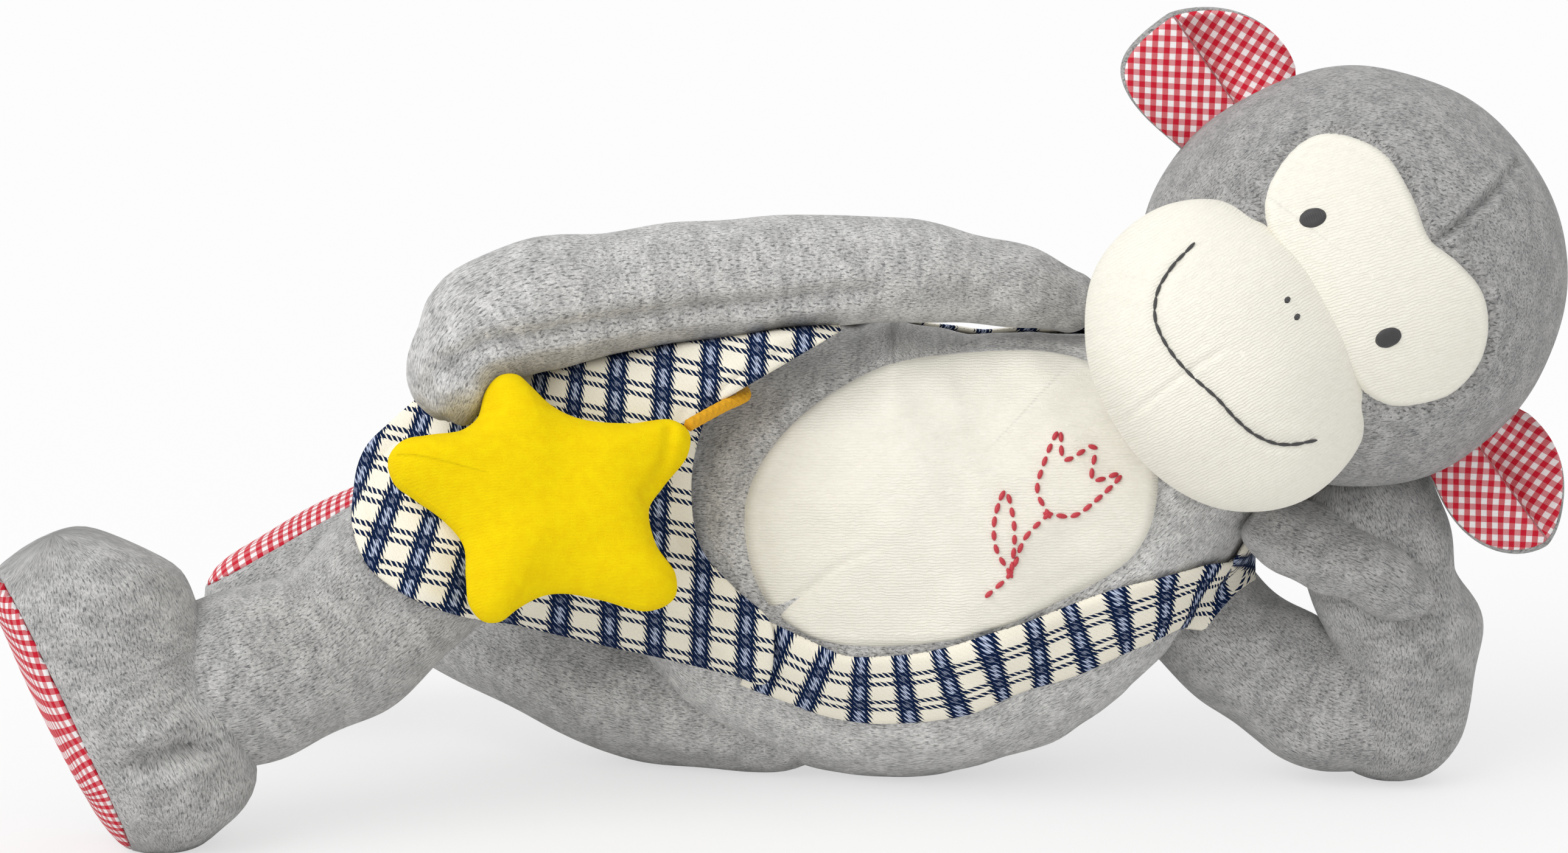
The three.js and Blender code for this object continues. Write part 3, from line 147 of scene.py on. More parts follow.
def ring_faces(rows, around):
    """Faces over rings of points, each end drawn to one point."""
    step = np.arange(around)
    after = (step + 1) % around
    base = 1 + around * np.arange(rows - 1)[:, None]
    quads = np.stack([base + step, base + after, base + around + after, base + around + step], -1)
    end = 1 + rows * around
    first = np.stack([np.zeros(around, int), 1 + after, 1 + step], -1)
    last = np.stack([np.full(around, end), end - around + step, end - around + after], -1)
    return quads.reshape(-1, 4), np.concatenate([first, last])


def closed_piece(name, rings, first, last, material, uv=None):
    """A closed mesh from rings of points, with its skin. uv has one column more than the rings."""
    rows, around = rings.shape[:2]
    skin = Surface(rings, first, last)
    points, quads, ends = skin.points, skin.quads, skin.ends
    corners = points[quads]
    crossed = np.cross(corners[:, 2] - corners[:, 0], corners[:, 3] - corners[:, 1])
    turn = 1 if (corners.mean(1) * crossed).sum() > 0 else -1
    mesh = bpy.data.meshes.new(name)
    mesh.from_pydata(row(points).tolist(), [], quads[:, ::turn].tolist() + ends[:, ::turn].tolist())
    if uv is not None:
        r, step = np.arange(rows - 1)[:, None], np.arange(around)
        sides = [uv[r, step], uv[r, step + 1], uv[r + 1, step + 1], uv[r + 1, step]]
        quad_uv = np.stack(sides, 2).reshape(-1, 4, 2)[:, ::turn]
        tops = [(uv[0, :-1] + uv[0, 1:]) / 2, uv[0, 1:], uv[0, :-1]]
        lows = [(uv[-1, :-1] + uv[-1, 1:]) / 2, uv[-1, :-1], uv[-1, 1:]]
        end_uv = np.concatenate([np.stack(tops, 1), np.stack(lows, 1)])[:, ::turn]
        layer = mesh.uv_layers.new(name="cloth")
        flat = np.concatenate([quad_uv.reshape(-1), end_uv.reshape(-1)])
        layer.data.foreach_set("uv", flat.astype(np.float32))
    mesh.shade_smooth()
    mesh.materials.append(material)
    piece = bpy.data.objects.new(name, mesh)
    scene.collection.objects.link(piece)
    return piece, skin


class Surface:
    """A skin of rings between two end points, to look at and to lay things on."""

    def __init__(self, rings, first, last):
        self.points = np.vstack([[first], rings.reshape(-1, 3), [last]])
        self.quads, self.ends = ring_faces(*rings.shape[:2])
        self.tree = BVHTree.FromPolygons(self.points.tolist(), self.quads.tolist() + self.ends.tolist())

    def cast(self, starts, ways):
        spots = np.full(starts.shape, np.nan)
        normals = np.full(starts.shape, np.nan)
        for k, (start, way) in enumerate(zip(starts.reshape(-1, 3), ways.reshape(-1, 3))):
            spot, normal, _, _ = self.tree.ray_cast(Vector(start), Vector(way))
            if spot is not None:
                spots.reshape(-1, 3)[k] = spot
                normals.reshape(-1, 3)[k] = normal if normal.dot(Vector(way)) < 0 else -normal
        return spots, normals

    def near(self, places):
        found = [self.tree.find_nearest(Vector(place)) for place in places.reshape(-1, 3)]
        spots = np.array([spot for spot, _, _, _ in found]).reshape(places.shape)
        return spots, np.array([normal for _, normal, _, _ in found]).reshape(places.shape)

    def seen(self, places, side=1):
        """Where the picture's parallel lines of sight meet it; side -1 looks from behind."""
        places = np.asarray(places, float)
        starts = places[..., :1] * RIGHT + places[..., 1:] * UP + side * 500 * OUT
        return self.cast(starts, np.broadcast_to(-side * OUT, starts.shape))

    def line(self, pixels, step=0.5):
        """A close line over the skin through the photo pixels that show it."""
        spots = self.pixels(pixels)[0]
        return dense(spots[~np.isnan(spots[:, 0])], step)

    def pixels(self, pixels):
        """Where the camera's lines of sight through photo pixels meet it."""
        rays = [pixel_ray(px, py) for px, py in pixels]
        starts = np.array([start for start, _ in rays])
        ways = np.array([way for _, way in rays])
        return self.cast(starts, ways)


def sweep(line, radius_at, sides, step):
    """Rings around a line; radius_at gives each ring's radii by length and angle."""
    rows = max(4, int(line.long / step))
    share = np.linspace(0, 1, rows)
    centre = line.spaced(share)
    along = unit(line.spaced(np.minimum(share + 1e-3, 1)) - line.spaced(np.maximum(share - 1e-3, 0)))
    side = np.zeros_like(along)
    side[0] = unit(np.cross(along[0], [0.3, 0.2, 1]))
    for k in range(1, rows):
        side[k] = unit(side[k - 1] - along[k] * (side[k - 1] @ along[k]))
    other = np.cross(along, side)
    angle = np.linspace(0, 2 * math.pi, sides, endpoint=False)
    radius = radius_at(share[:, None] * line.long, angle[None, :])[..., None]
    spokes = np.cos(angle)[None, :, None] * side[:, None] + np.sin(angle)[None, :, None] * other[:, None]
    return centre[:, None] + radius * spokes, centre


CORD_RADIUS = 1.5
CORD_PICK = 2.6
EYELET_AT = np.array([-15.0, 0.261, 102.179])
EYELET_OUT = np.array([-0.3806, -0.3603, 0.8517])
CORD_ROUTE = [
    EYELET_AT + 0.2 * EYELET_OUT,
    EYELET_AT + 2.4 * EYELET_OUT,
    (-10.6, -12.5, 103.664),
    (-9.4, -19, 103.41),
    (-10.6, -25, 103.663),
    (-14, -31, 103.303),
    (-18, -37, 102.329),
    (-22.5, -43.5, 101.052),
]


def braid(along, angle):
    one = np.sin(4 * angle + 2 * math.pi * along / CORD_PICK)
    other = np.sin(4 * angle - 2 * math.pi * along / CORD_PICK)
    return CORD_RADIUS * (0.89 + 0.11 * np.maximum(one, other))


def new_material(name, **values):
    """A material, its nodes and its shader, with plain values on the shader's inputs."""
    material = bpy.data.materials.new(name)
    material.use_nodes = True
    shader = material.node_tree.nodes["Principled BSDF"]
    for key, value in values.items():
        shader.inputs[key.replace("_", " ")].default_value = value
    return material, material.node_tree, shader


def node(tree, kind, links=(), **values):
    """A shader node with plain settings, values on its inputs, and links to other sockets."""
    made = tree.nodes.new(kind)
    for name, value in values.items():
        if name.startswith("in_"):
            key = name[3:]
            made.inputs[int(key) if key.isdigit() else key.replace("_", " ")].default_value = value
        else:
            setattr(made, name, value)
    for key, socket in dict(links).items():
        tree.links.new(socket, made.inputs[key])
    return made


cord_cotton = new_material(
    "cord_cotton", Base_Color=(0.72, 0.36, 0.015, 1), Roughness=0.7, Specular_IOR_Level=0.2
)[0]
cord_line = Smooth(CORD_ROUTE)
cord_rings, cord_centres = sweep(cord_line, braid, 48, 0.16)
pull_cord, _ = closed_piece(
    "pull_cord_braid", cord_rings, cord_centres[0], cord_centres[-1], cord_cotton
)

# Torso: a stuffed pear of grey heathered velour, its neck under the head and its lower side on
# the ground. Everything else is sewn to it. A groove runs where the cream belly panel is sewn in.
def group(name, inputs, outputs):
    """An empty shader group with named inputs and outputs."""
    made = bpy.data.node_groups.new(name, "ShaderNodeTree")
    for label, kind, value in inputs:
        socket = made.interface.new_socket(label, in_out="INPUT", socket_type="NodeSocket" + kind)
        if value is not None:
            socket.default_value = value
    for label, kind in outputs:
        made.interface.new_socket(label, in_out="OUTPUT", socket_type="NodeSocket" + kind)
    return made, made.nodes.new("NodeGroupInput").outputs, made.nodes.new("NodeGroupOutput").inputs


def stretched(vector, scale):
    made = node(vector.id_data, "ShaderNodeVectorMath", {0: vector}, operation="MULTIPLY", in_1=scale)
    return made.outputs[0]


def noise(vector, scale, detail=2.0, rough=0.5):
    values = {"in_Scale": scale, "in_Detail": detail, "in_Roughness": rough}
    return node(vector.id_data, "ShaderNodeTexNoise", {"Vector": vector}, **values).outputs["Fac"]


def ranged(value, low, high, to_low=0.0, to_high=1.0):
    """A value eased from one range to another."""
    made = node(
        value.id_data,
        "ShaderNodeMapRange",
        {"Value": value},
        interpolation_type="SMOOTHSTEP",
        in_1=low,
        in_2=high,
        in_3=to_low,
        in_4=to_high,
    )
    return made.outputs["Result"]


def fed(made, inputs, values):
    """Puts sockets or plain values on a node's inputs."""
    for key, value in zip(inputs, values):
        if isinstance(value, bpy.types.NodeSocket):
            made.id_data.links.new(value, made.inputs[key])
        else:
            made.inputs[key].default_value = value
    return made.outputs


def mixed(factor, a, b):
    """A colour mix; a and b are sockets or colours."""
    made = node(factor.id_data, "ShaderNodeMix", {0: factor}, data_type="RGBA")
    return fed(made, (6, 7), (a, b))[2]


def maths(operation, *values):
    """A sum on sockets and numbers, in the node tree of its first socket."""
    tree = next(value.id_data for value in values if isinstance(value, bpy.types.NodeSocket))
    return fed(node(tree, "ShaderNodeMath", operation=operation), range(len(values)), values)[0]


heather, given, put = group(
    "Heathered pile",
    [
        ("Vector", "Vector", None),
        ("Light", "Color", (0.5, 0.5, 0.51, 1)),
        ("Middle", "Color", (0.3, 0.3, 0.31, 1)),
        ("Dark", "Color", (0.08, 0.085, 0.09, 1)),
        ("Patch size", "Float", 5.0),
    ],
    [("Color", "Color"), ("Height", "Float")],
)
patch_scale = maths("DIVIDE", 1.0, given["Patch size"])
streaks = stretched(given["Vector"], (1.3, 0.8, 1.0))
wide_noise = node(
    heather, "ShaderNodeTexNoise", {"Vector": streaks, "Scale": patch_scale}, in_Detail=3.0
).outputs["Fac"]
grain = noise(stretched(given["Vector"], (1.0, 1.9, 1.5)), 1.0, 4.0, 0.75)
ticks = noise(stretched(given["Vector"], (0.75, 2.6, 1.6)), 1.0, 2.0, 0.6)
patches = maths("MULTIPLY", ranged(wide_noise, 0.34, 0.68), 0.4)
patches = maths("ADD", patches, maths("MULTIPLY", ranged(grain, 0.39, 0.61), 0.6))
ground_colour = mixed(patches, given["Middle"], given["Light"])
tick_amount = maths("MULTIPLY", ranged(ticks, 0.52, 0.66), 0.75)
heather.links.new(mixed(tick_amount, ground_colour, given["Dark"]), put["Color"])
heights = maths("ADD", maths("MULTIPLY", grain, 1.6), wide_noise)
heights = maths("SUBTRACT", heights, maths("MULTIPLY", ticks, 0.8))
heather.links.new(heights, put["Height"])

ribs, given, put = group(
    "Knit ribs",
    [("Vector", "Vector", None), ("Rib", "Float", 0.7), ("Rib depth", "Float", 1.0)],
    [("Height", "Float"), ("Shade", "Float")],
)
drift = node(ribs, "ShaderNodeTexNoise", {"Vector": given["Vector"]}, in_Scale=0.5, in_Detail=2.0)
drift = drift.outputs["Color"]
bent = node(ribs, "ShaderNodeVectorMath", {0: drift, 1: given["Vector"]}, operation="ADD").outputs[0]
parts = node(ribs, "ShaderNodeSeparateXYZ", {0: bent}).outputs
turns = maths("MULTIPLY", maths("DIVIDE", parts["Y"], given["Rib"]), 2 * math.pi)
wave = maths("MULTIPLY", maths("SINE", turns), given["Rib depth"])
nap = noise(given["Vector"], 3.0, 3.0, 0.7)
soft = noise(given["Vector"], 0.35, 3.0, 0.55)
ribs.links.new(maths("ADD", maths("MULTIPLY", wave, 0.4), maths("MULTIPLY", nap, 1.5)), put["Height"])
shade = maths("ADD", maths("MULTIPLY", wave, 0.16), ranged(soft, 0.25, 0.75, 0.1, 0.5))
ribs.links.new(maths("ADD", shade, maths("MULTIPLY", nap, 0.5)), put["Shade"])


def cloth_coordinates(tree, source):
    """A pattern's coordinates in millimetres: the cloth's own UV, or the object's places."""
    if source == "UV":
        return node(tree, "ShaderNodeUVMap", uv_map="cloth").outputs[0]
    place = node(tree, "ShaderNodeTexCoord").outputs["Object"]
    return stretched(place, (1 / MM, 1 / MM, 1 / MM))


def bumped(tree, shader, height, reach):
    made = node(tree, "ShaderNodeBump", {"Height": height}, in_Strength=1.0, in_Distance=reach * MM)
    tree.links.new(made.outputs["Normal"], shader.inputs["Normal"])


def use_group(tree, made, source, **values):
    """A shader group's outputs, laid over a piece's coordinates."""
    used = node(tree, "ShaderNodeGroup", node_tree=made)
    tree.links.new(cloth_coordinates(tree, source), used.inputs["Vector"])
    for key, value in values.items():
        used.inputs[key.replace("_", " ")].default_value = value
    return used.outputs


def grey_velour(name, source="UV", painted_light_scale=1.0):
    """The heathered velour, its three tones scaled by the last argument: lighter and darker copies of the
    one velour, painted light above 1 and painted shade below 1.
    """
    material, tree, shader = new_material(name, Sheen_Weight=0.35, **VELOUR_FINISH)
    pile = use_group(
        tree,
        heather,
        source,
        Light=(0.84 * painted_light_scale, 0.83 * painted_light_scale, 0.815 * painted_light_scale, 1),
        Middle=(0.36 * painted_light_scale, 0.358 * painted_light_scale, 0.356 * painted_light_scale, 1),
        Dark=(0.1 * painted_light_scale, 0.101 * painted_light_scale, 0.106 * painted_light_scale, 1),
    )
    tree.links.new(pile["Color"], shader.inputs["Base Color"])
    bumped(tree, shader, pile["Height"], 0.35)
    return material


def ribbed_velour(name, dark, light, reach, rib_depth, **values):
    """Plain knitted velour between two tones, with values for its shader's inputs."""
    material, tree, shader = new_material(name, Sheen_Weight=0.25, **values)
    rib = use_group(tree, ribs, "UV", Rib_depth=rib_depth)
    tree.links.new(mixed(rib["Shade"], dark, light), shader.inputs["Base Color"])
    bumped(tree, shader, rib["Height"], reach)
    return material


VELOUR_FINISH = {"Roughness": 0.95, "Specular_IOR_Level": 0.15, "Sheen_Roughness": 0.45}


# Copies of the one grey velour, their tones scaled for the light their parts get: painted light on the
# torso (1.12) and on the right arm and left leg (1.0), painted shade on the right leg and both feet
# (0.84), on the left arm and hand (0.72), and on the head and ears (0.65).
velour_limbs_painted_light = grey_velour("grey_velour_limbs_painted_light")
velour_torso_painted_light = grey_velour("grey_velour_torso_painted_light", painted_light_scale=1.12)
velour_legs_painted_shade = grey_velour("grey_velour_legs_painted_shade", painted_light_scale=0.84)
velour_low_arm_painted_shade = grey_velour("grey_velour_low_arm_painted_shade", painted_light_scale=0.72)
velour_round_painted_shade = grey_velour("grey_velour_round_painted_shade", "Object", painted_light_scale=0.65)
cream = ribbed_velour(
    "cream_velour", (0.87, 0.835, 0.73, 1), (0.92, 0.895, 0.8, 1), 0.16, 1.0, **VELOUR_FINISH
)


def lumps(points, size, seed, count=16):
    """Soft uneven stuffing: smooth waves in all directions, about as long as size."""
    random = np.random.default_rng(seed)
    ways = unit(random.normal(size=(count, 3))) * (2 * math.pi / size)
    ways = ways * random.uniform(0.6, 1.5, (count, 1))
    phases = random.uniform(0, 2 * math.pi, count)
    total = np.zeros(points.shape[:-1])
    for way, phase in zip(ways, phases):
        total += np.sin(points @ way + phase)
    return total / math.sqrt(count / 2)


def nearest(points, line, within=9.0):
    """Each point's distance to a line of close points, and how far along that is."""
    flat = points.reshape(-1, points.shape[-1])
    away = np.full(len(flat), 1e3)
    along = np.zeros(len(flat))
    steps = run_lengths(line)
    near = np.all((flat > line.min(0) - within) & (flat < line.max(0) + within), axis=1)
    index = np.flatnonzero(near)
    for part in np.array_split(index, max(1, len(index) // 2000)):
        if len(part):
            square = ((flat[part, None] - line[None]) ** 2).sum(-1)
            best = square.argmin(1)
            away[part] = np.sqrt(square[np.arange(len(part)), best])
            along[part] = steps[best]
    return away.reshape(points.shape[:-1]), along.reshape(points.shape[:-1])


def dense(points, step=0.5, closed=False):
    line = Smooth(points, closed)
    return line.spaced(np.linspace(0, 1, max(3, int(line.long / step))))


def groove(points, line, depth, width, pucker=0.0, pitch=3.0):
    """How far a sewn seam draws the skin in, with small puckers along it."""
    away, along = nearest(points, line, 6 * width)
    total_long = np.linalg.norm(np.diff(line, axis=0), axis=1).sum()
    fade = np.clip(np.minimum(along, total_long - along) / (3 * width) + 0.2, 0, 1)
    drawn = -depth * np.exp(-((away / width) ** 2))
    lip = 0.25 * depth * np.exp(-(((away - 2.2 * width) / width) ** 2))
    ripple = pucker * np.sin(2 * math.pi * along / pitch) * np.exp(-((away / (2 * width)) ** 2))
    return (drawn + lip + ripple) * fade


def ring_normals(rings):
    along = np.gradient(rings, axis=0)
    around = np.roll(rings, -1, 1) - np.roll(rings, 1, 1)
    normals = unit(np.cross(around, along))
    outward = ((rings - rings.mean(1, keepdims=True)) * normals).sum() > 0
    return normals if outward else -normals


def on_ground(points):
    """Nothing goes below the ground; what would is pressed flat."""
    z = points[..., 2]
    points[..., 2] = (z + np.sqrt(z * z + 0.36)) / 2
    return points


class StuffedForm:
    """A smooth spine with swelling oval sections and rounded ends, as the part's source has it.
    Each stop is x, y, z, half tall and half deep."""

    def __init__(self, start_cap, end_cap, stops):
        stops = np.array(stops, float)
        self.spine = Smooth(stops[:, :3])
        self.sizes = Smooth(np.column_stack([stops[:, 3:], np.zeros(len(stops))]))
        self.long = self.spine.long
        self.caps = (start_cap, end_cap)
        self.stops = len(stops) - 1
        places = np.arange(self.stops + 1) / self.stops
        self.knots = np.interp(places, self.spine.table, self.spine.lengths) / self.long

    def size(self, share):
        place = np.interp(share, self.knots, np.arange(self.stops + 1)) / self.stops
        value = self.sizes.at(place)
        from_start = np.minimum(1, share * self.long / self.caps[0])
        from_end = np.minimum(1, (1 - share) * self.long / self.caps[1])
        rounded = np.sqrt(np.maximum(0, (1 - (1 - from_start) ** 2) * (1 - (1 - from_end) ** 2)))
        return value[..., 0] * rounded, value[..., 1] * rounded

    def frame(self, share):
        share = np.clip(share, 0, 1)
        small = 0.02
        ahead = self.spine.spaced(np.minimum(share + small, 1))
        along = unit(ahead - self.spine.spaced(np.maximum(share - small, 0)))
        deep = unit(np.array([0.0, -1.0, 0.0]) + along * along[..., 1:2])
        return self.spine.spaced(share), deep, unit(np.cross(deep, along))

    def point(self, share, angle):
        """A place on the skin; the angle runs from the top (0) to the viewer's side (a quarter)."""
        share, angle = np.broadcast_arrays(np.asarray(share, float), np.asarray(angle, float))
        centre, deep, tall = self.frame(share)
        a, b = self.size(share)
        above = tall * (np.cos(angle) * a)[..., None]
        forward = deep * (np.sin(angle) * b)[..., None]
        return centre + above + forward

    def grid(self, step):
        """Rings of the skin with their UV in millimetres; the UV's own seam is at the back."""
        start, end = self.caps[0] / self.long, 1 - self.caps[1] / self.long
        turn = np.linspace(0, math.pi / 2, 15)[1:]
        middle = np.linspace(start, end, max(4, int((end - start) * self.long / step)))[1:-1]
        ending = 1 - (1 - end) * (1 - np.cos(turn))
        share = np.concatenate([start * (1 - np.cos(turn)), middle, ending[::-1]])
        girth = 2 * math.pi * self.sizes.at(np.linspace(0, 1, 20))[:, :2].mean()
        around = int(girth / step)
        angle = -math.pi / 2 + np.linspace(0, 2 * math.pi, around + 1)
        rings = self.point(share[:, None], angle[None, :-1])
        around_at = angle[None] * girth / (2 * math.pi)
        return rings, np.stack(np.broadcast_arrays(share[:, None] * self.long, around_at), -1)

    def piece(self, name, material, dress=None, step=1.1, mend=None):
        """The stuffed piece; dress gives heights over the skin and mend moves whole points."""
        rings, uv = self.grid(step)
        if dress:
            rings = rings + ring_normals(rings) * dress(rings)[..., None]
        first, last = self.spine.at(0.0), self.spine.at(1.0)
        points = np.concatenate([rings.reshape(-1, 3), [first, last]])
        points = mend(points) if mend else points
        points = on_ground(points)
        rings = points[:-2].reshape(rings.shape)
        return closed_piece(name, rings, points[-2], points[-1], material, uv)

    def surface(self, step=2.5, height=0.0):
        rings, _ = self.grid(step)
        return Surface(rings + ring_normals(rings) * height, self.spine.at(0.0), self.spine.at(1.0))


def finished(piece, body, nodes, between=None):
    """Parents a piece to its body's empty, or, where between is given, bakes its place into its mesh, and
    hides the packed parts that it stands in for.
    """
    if between:
        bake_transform(piece)
    else:
        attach(piece, body)
    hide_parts(*nodes)
    return piece


torso_form = StuffedForm(
    34,
    14,
    [
        (-46, 13, 66, 34.5, 31),
        (-20, 14, 62.5, 46.5, 37),
        (6, 14, 59, 54, 43),
        (32, 13, 57.5, 58.5, 45),
        (58, 11, 64, 52, 43),
        (82, 8, 77, 41.5, 36),
        (100, 5, 90, 29.5, 28),
        (112, 2, 101, 22.5, 23),
    ],
)
PANEL_OUTLINE = dense(
    [
        (72, 107), (46, 108.5), (23, 104.5), (2, 91), (-9, 75), (-10, 62), (-5, 47), (6, 38),
        (21, 35.5), (42, 37.5), (66, 46), (86, 59), (91, 75), (86, 97),
    ],
    1.0,
    closed=True,
)
torso_plain = torso_form.surface()
panel_seam = torso_plain.seen(PANEL_OUTLINE)[0]


def torso_dress(points):
    return 0.6 * lumps(points, 42, 3) + 0.2 * lumps(points, 15, 4) + groove(points, panel_seam, 0.9, 1.5)


torso, torso_skin = torso_form.piece("torso_velour", velour_torso_painted_light, torso_dress)
finished(torso, "body", ["torso"])


# Belly panel: cream velour, sewn into the torso's front, with a dart seam at its lower end.
def wrapped(values):
    """Values on rings, with the first column once more at the end."""
    return np.concatenate([values, values[:, :1]], 1)


def turned(places, angle):
    """Places in a plane turned about its middle, against the clock."""
    x, y = places[..., 0], places[..., 1]
    return np.stack([x * np.cos(angle) - y * np.sin(angle), x * np.sin(angle) + y * np.cos(angle)], -1)


def from_edge(places, outline):
    """How far places are from a closed outline."""
    return nearest(places, np.vstack([outline, outline[:1]]), 400)[0]


def shell(name, outline, centre, lay, heights, material, under=1.2, uv_turn=0.0):
    """A sewn-on patch. lay puts (place, height) on a skin; heights gives its loft by the distance
    from its edge. Its rim is tucked under."""
    shares = np.concatenate([np.linspace(0.02, 0.8, 45), 1 - 0.2 * np.linspace(1, 0, 26)[1:] ** 1.5])
    places = centre + (outline[None] - centre) * shares[:, None, None]
    edge = from_edge(places, outline)
    top = lay(places, heights(edge, places))
    low = lay(places, np.full(edge.shape, -under))
    rings = np.concatenate([top, low[::-1]])
    flat = turned(places, -uv_turn)
    uv = wrapped(np.concatenate([flat, flat[::-1]]))
    return closed_piece(name, rings, top[0].mean(0), low[0].mean(0), material, uv)


def tucked(loft, tuck=0.8, soft=2.4):
    """A loft that rises from a rim drawn under the skin."""
    return lambda edge, places: loft * (1 - np.exp(-edge / soft)) - tuck * np.exp(-edge / 0.7)


def laid_on(skin):
    def lay(places, heights):
        spots, normals = skin.seen(places)
        return spots + normals * heights[..., None]

    return lay


# TARGET's place along UP, rounded: where the photo's middle is in the picture plane.
PICTURE_MIDDLE_UP = 89.5


def plane(pixels):
    """Photo pixels as places in the picture plane."""
    pixels = np.asarray(pixels, float)
    aside = (pixels[:, 0] - PHOTO_WIDE / 2) * PIXEL
    above = (PHOTO_TALL / 2 - pixels[:, 1]) * PIXEL + PICTURE_MIDDLE_UP
    return np.stack([aside, above], -1)


DART = dense(plane([(1262, 1008), (1302, 982), (1343, 951), (1379, 923), (1417, 905), (1470, 880)]), 0.5)


def panel_loft(edge, places):
    away, along = nearest(places, DART, 8)
    dart = -1.3 * np.exp(-((away / 1.1) ** 2)) * np.clip(1.1 - along / 34, 0, 1)
    return tucked(1.0)(edge, places) + dart


belly_panel, panel_skin = shell(
    "belly_panel_velour", PANEL_OUTLINE, np.array([40.0, 74.0]), laid_on(torso_skin), panel_loft, cream
)
finished(belly_panel, "body", ["belly_panel"])

# Running stitch on the belly: a generic tulip in red thread, of the size and colour that the
# photographed stitching has. Each stitch lies on the cloth between two holes.
def stitch_group():
    """Beads at even steps on a curve, each drawn out along it by an uneven length."""
    made = bpy.data.node_groups.new("Stitch run", "GeometryNodeTree")
    face = made.interface
    face.new_socket("Geometry", in_out="OUTPUT", socket_type="NodeSocketGeometry")
    face.new_socket("Geometry", in_out="INPUT", socket_type="NodeSocketGeometry")
    for label, value in (("Pitch", 0.003), ("Long", 0.002), ("Thick", 0.0008), ("Uneven", 0.15)):
        face.new_socket(label, in_out="INPUT", socket_type="NodeSocketFloat").default_value = value
    face.new_socket("Seed", in_out="INPUT", socket_type="NodeSocketInt").default_value = 1
    face.new_socket("Material", in_out="INPUT", socket_type="NodeSocketMaterial")
    given = made.nodes.new("NodeGroupInput").outputs
    put = made.nodes.new("NodeGroupOutput").inputs

    def step(kind, links=(), **values):
        return node(made, kind, links, **values).outputs

    spots = step(
        "GeometryNodeCurveToPoints", {"Curve": given["Geometry"], "Length": given["Pitch"]}, mode="LENGTH"
    )
    bead = step("GeometryNodeMeshIcoSphere", in_Radius=0.5, in_Subdivisions=3)
    turn = step("FunctionNodeAlignRotationToVector", {"Vector": spots["Tangent"]}, axis="X")
    shortest = maths("SUBTRACT", 1, given["Uneven"])
    uneven = step(
        "FunctionNodeRandomValue", {2: shortest, "Seed": given["Seed"]}, data_type="FLOAT", in_3=1
    )
    longer = maths("MULTIPLY", given["Long"], uneven[1])
    size = step("ShaderNodeCombineXYZ", {"X": longer, "Y": given["Thick"], "Z": given["Thick"]})
    each = step(
        "GeometryNodeInstanceOnPoints",
        {
            "Points": spots["Points"],
            "Instance": bead["Mesh"],
            "Rotation": turn["Rotation"],
            "Scale": size[0],
        },
    )
    real = step("GeometryNodeRealizeInstances", {"Geometry": each["Instances"]})
    smooth = step("GeometryNodeSetShadeSmooth", {"Geometry": real["Geometry"]})
    finish = step(
        "GeometryNodeSetMaterial", {"Geometry": smooth["Geometry"], "Material": given["Material"]}
    )
    made.links.new(finish["Geometry"], put["Geometry"])
    return made


STITCHES = stitch_group()


def curve_object(name, lines):
    data = bpy.data.curves.new(name, "CURVE")
    data.dimensions = "3D"
    for line in lines:
        spline = data.splines.new("POLY")
        spline.points.add(len(line) - 1)
        spline.points.foreach_set("co", np.column_stack([row(line), np.ones(len(line))]).ravel())
    made = bpy.data.objects.new(name, data)
    scene.collection.objects.link(made)
    return made


def stitched(name, lines, material, seed, pitch, long, thick, uneven=0.15):
    """Lines of stitches as one mesh, made by the stitch group."""
    source = curve_object(name + "_line", lines)
    modifier = source.modifiers.new("stitches", "NODES")
    modifier.node_group = STITCHES
    values = {
        "Pitch": pitch * MM,
        "Long": long * MM,
        "Thick": thick * MM,
        "Uneven": uneven,
        "Seed": seed,
        "Material": material,
    }
    for item in STITCHES.interface.items_tree:
        if item.in_out == "INPUT" and item.name in values:
            modifier[item.identifier] = values[item.name]
    made = bpy.data.meshes.new_from_object(
        source.evaluated_get(bpy.context.evaluated_depsgraph_get())
    )
    made.name = name
    bpy.data.objects.remove(source)
    piece = bpy.data.objects.new(name, made)
    scene.collection.objects.link(piece)
    return piece


def thread(name, colour, rough=0.45):
    """Thread with strands of two tones."""
    material, tree, shader = new_material(name, Roughness=rough, Sheen_Weight=0.2)
    strands = noise(stretched(cloth_coordinates(tree, "Object"), (6, 6, 6)), 1.0, 1.0)
    darker = tuple(0.6 * part for part in colour[:3]) + (1,)
    tree.links.new(mixed(strands, darker, colour), shader.inputs["Base Color"])
    return material


red_thread = thread("red_thread", (0.6, 0.025, 0.045, 1))
dark_thread = thread("dark_thread", (0.045, 0.043, 0.045, 1), 0.6)
BLOOM = [
    (0, 0), (3, -5.2), (9, -7.6), (18, -9), (13, -4.2), (19.5, 0), (13, 4.2), (18, 9), (9, 7.6),
    (3, 5.2), (0, 0),
]
STEM = [(-0.5, 0), (-8, 1.2), (-17, -0.8), (-24, 0.6)]
LEAF = [(-17, -0.6), (-14, 5.5), (-8.5, 9.8), (-1.5, 11.5), (-5.5, 6.5), (-10.5, 2.6), (-15.5, -0.2)]
TULIP_AT = np.array([63.5, 68.5])
TULIP_TURN = math.radians(55)
tulip_lines = []
for line in (BLOOM, STEM, LEAF):
    spots, normals = panel_skin.seen(TULIP_AT + turned(dense(line, 0.5), TULIP_TURN))
    tulip_lines.append(spots + 0.15 * normals)
belly_stitching = stitched("belly_stitching_thread", tulip_lines, red_thread, 5, 3.3, 2.8, 1.25)
finished(belly_stitching, "body", ["belly_stitching"])

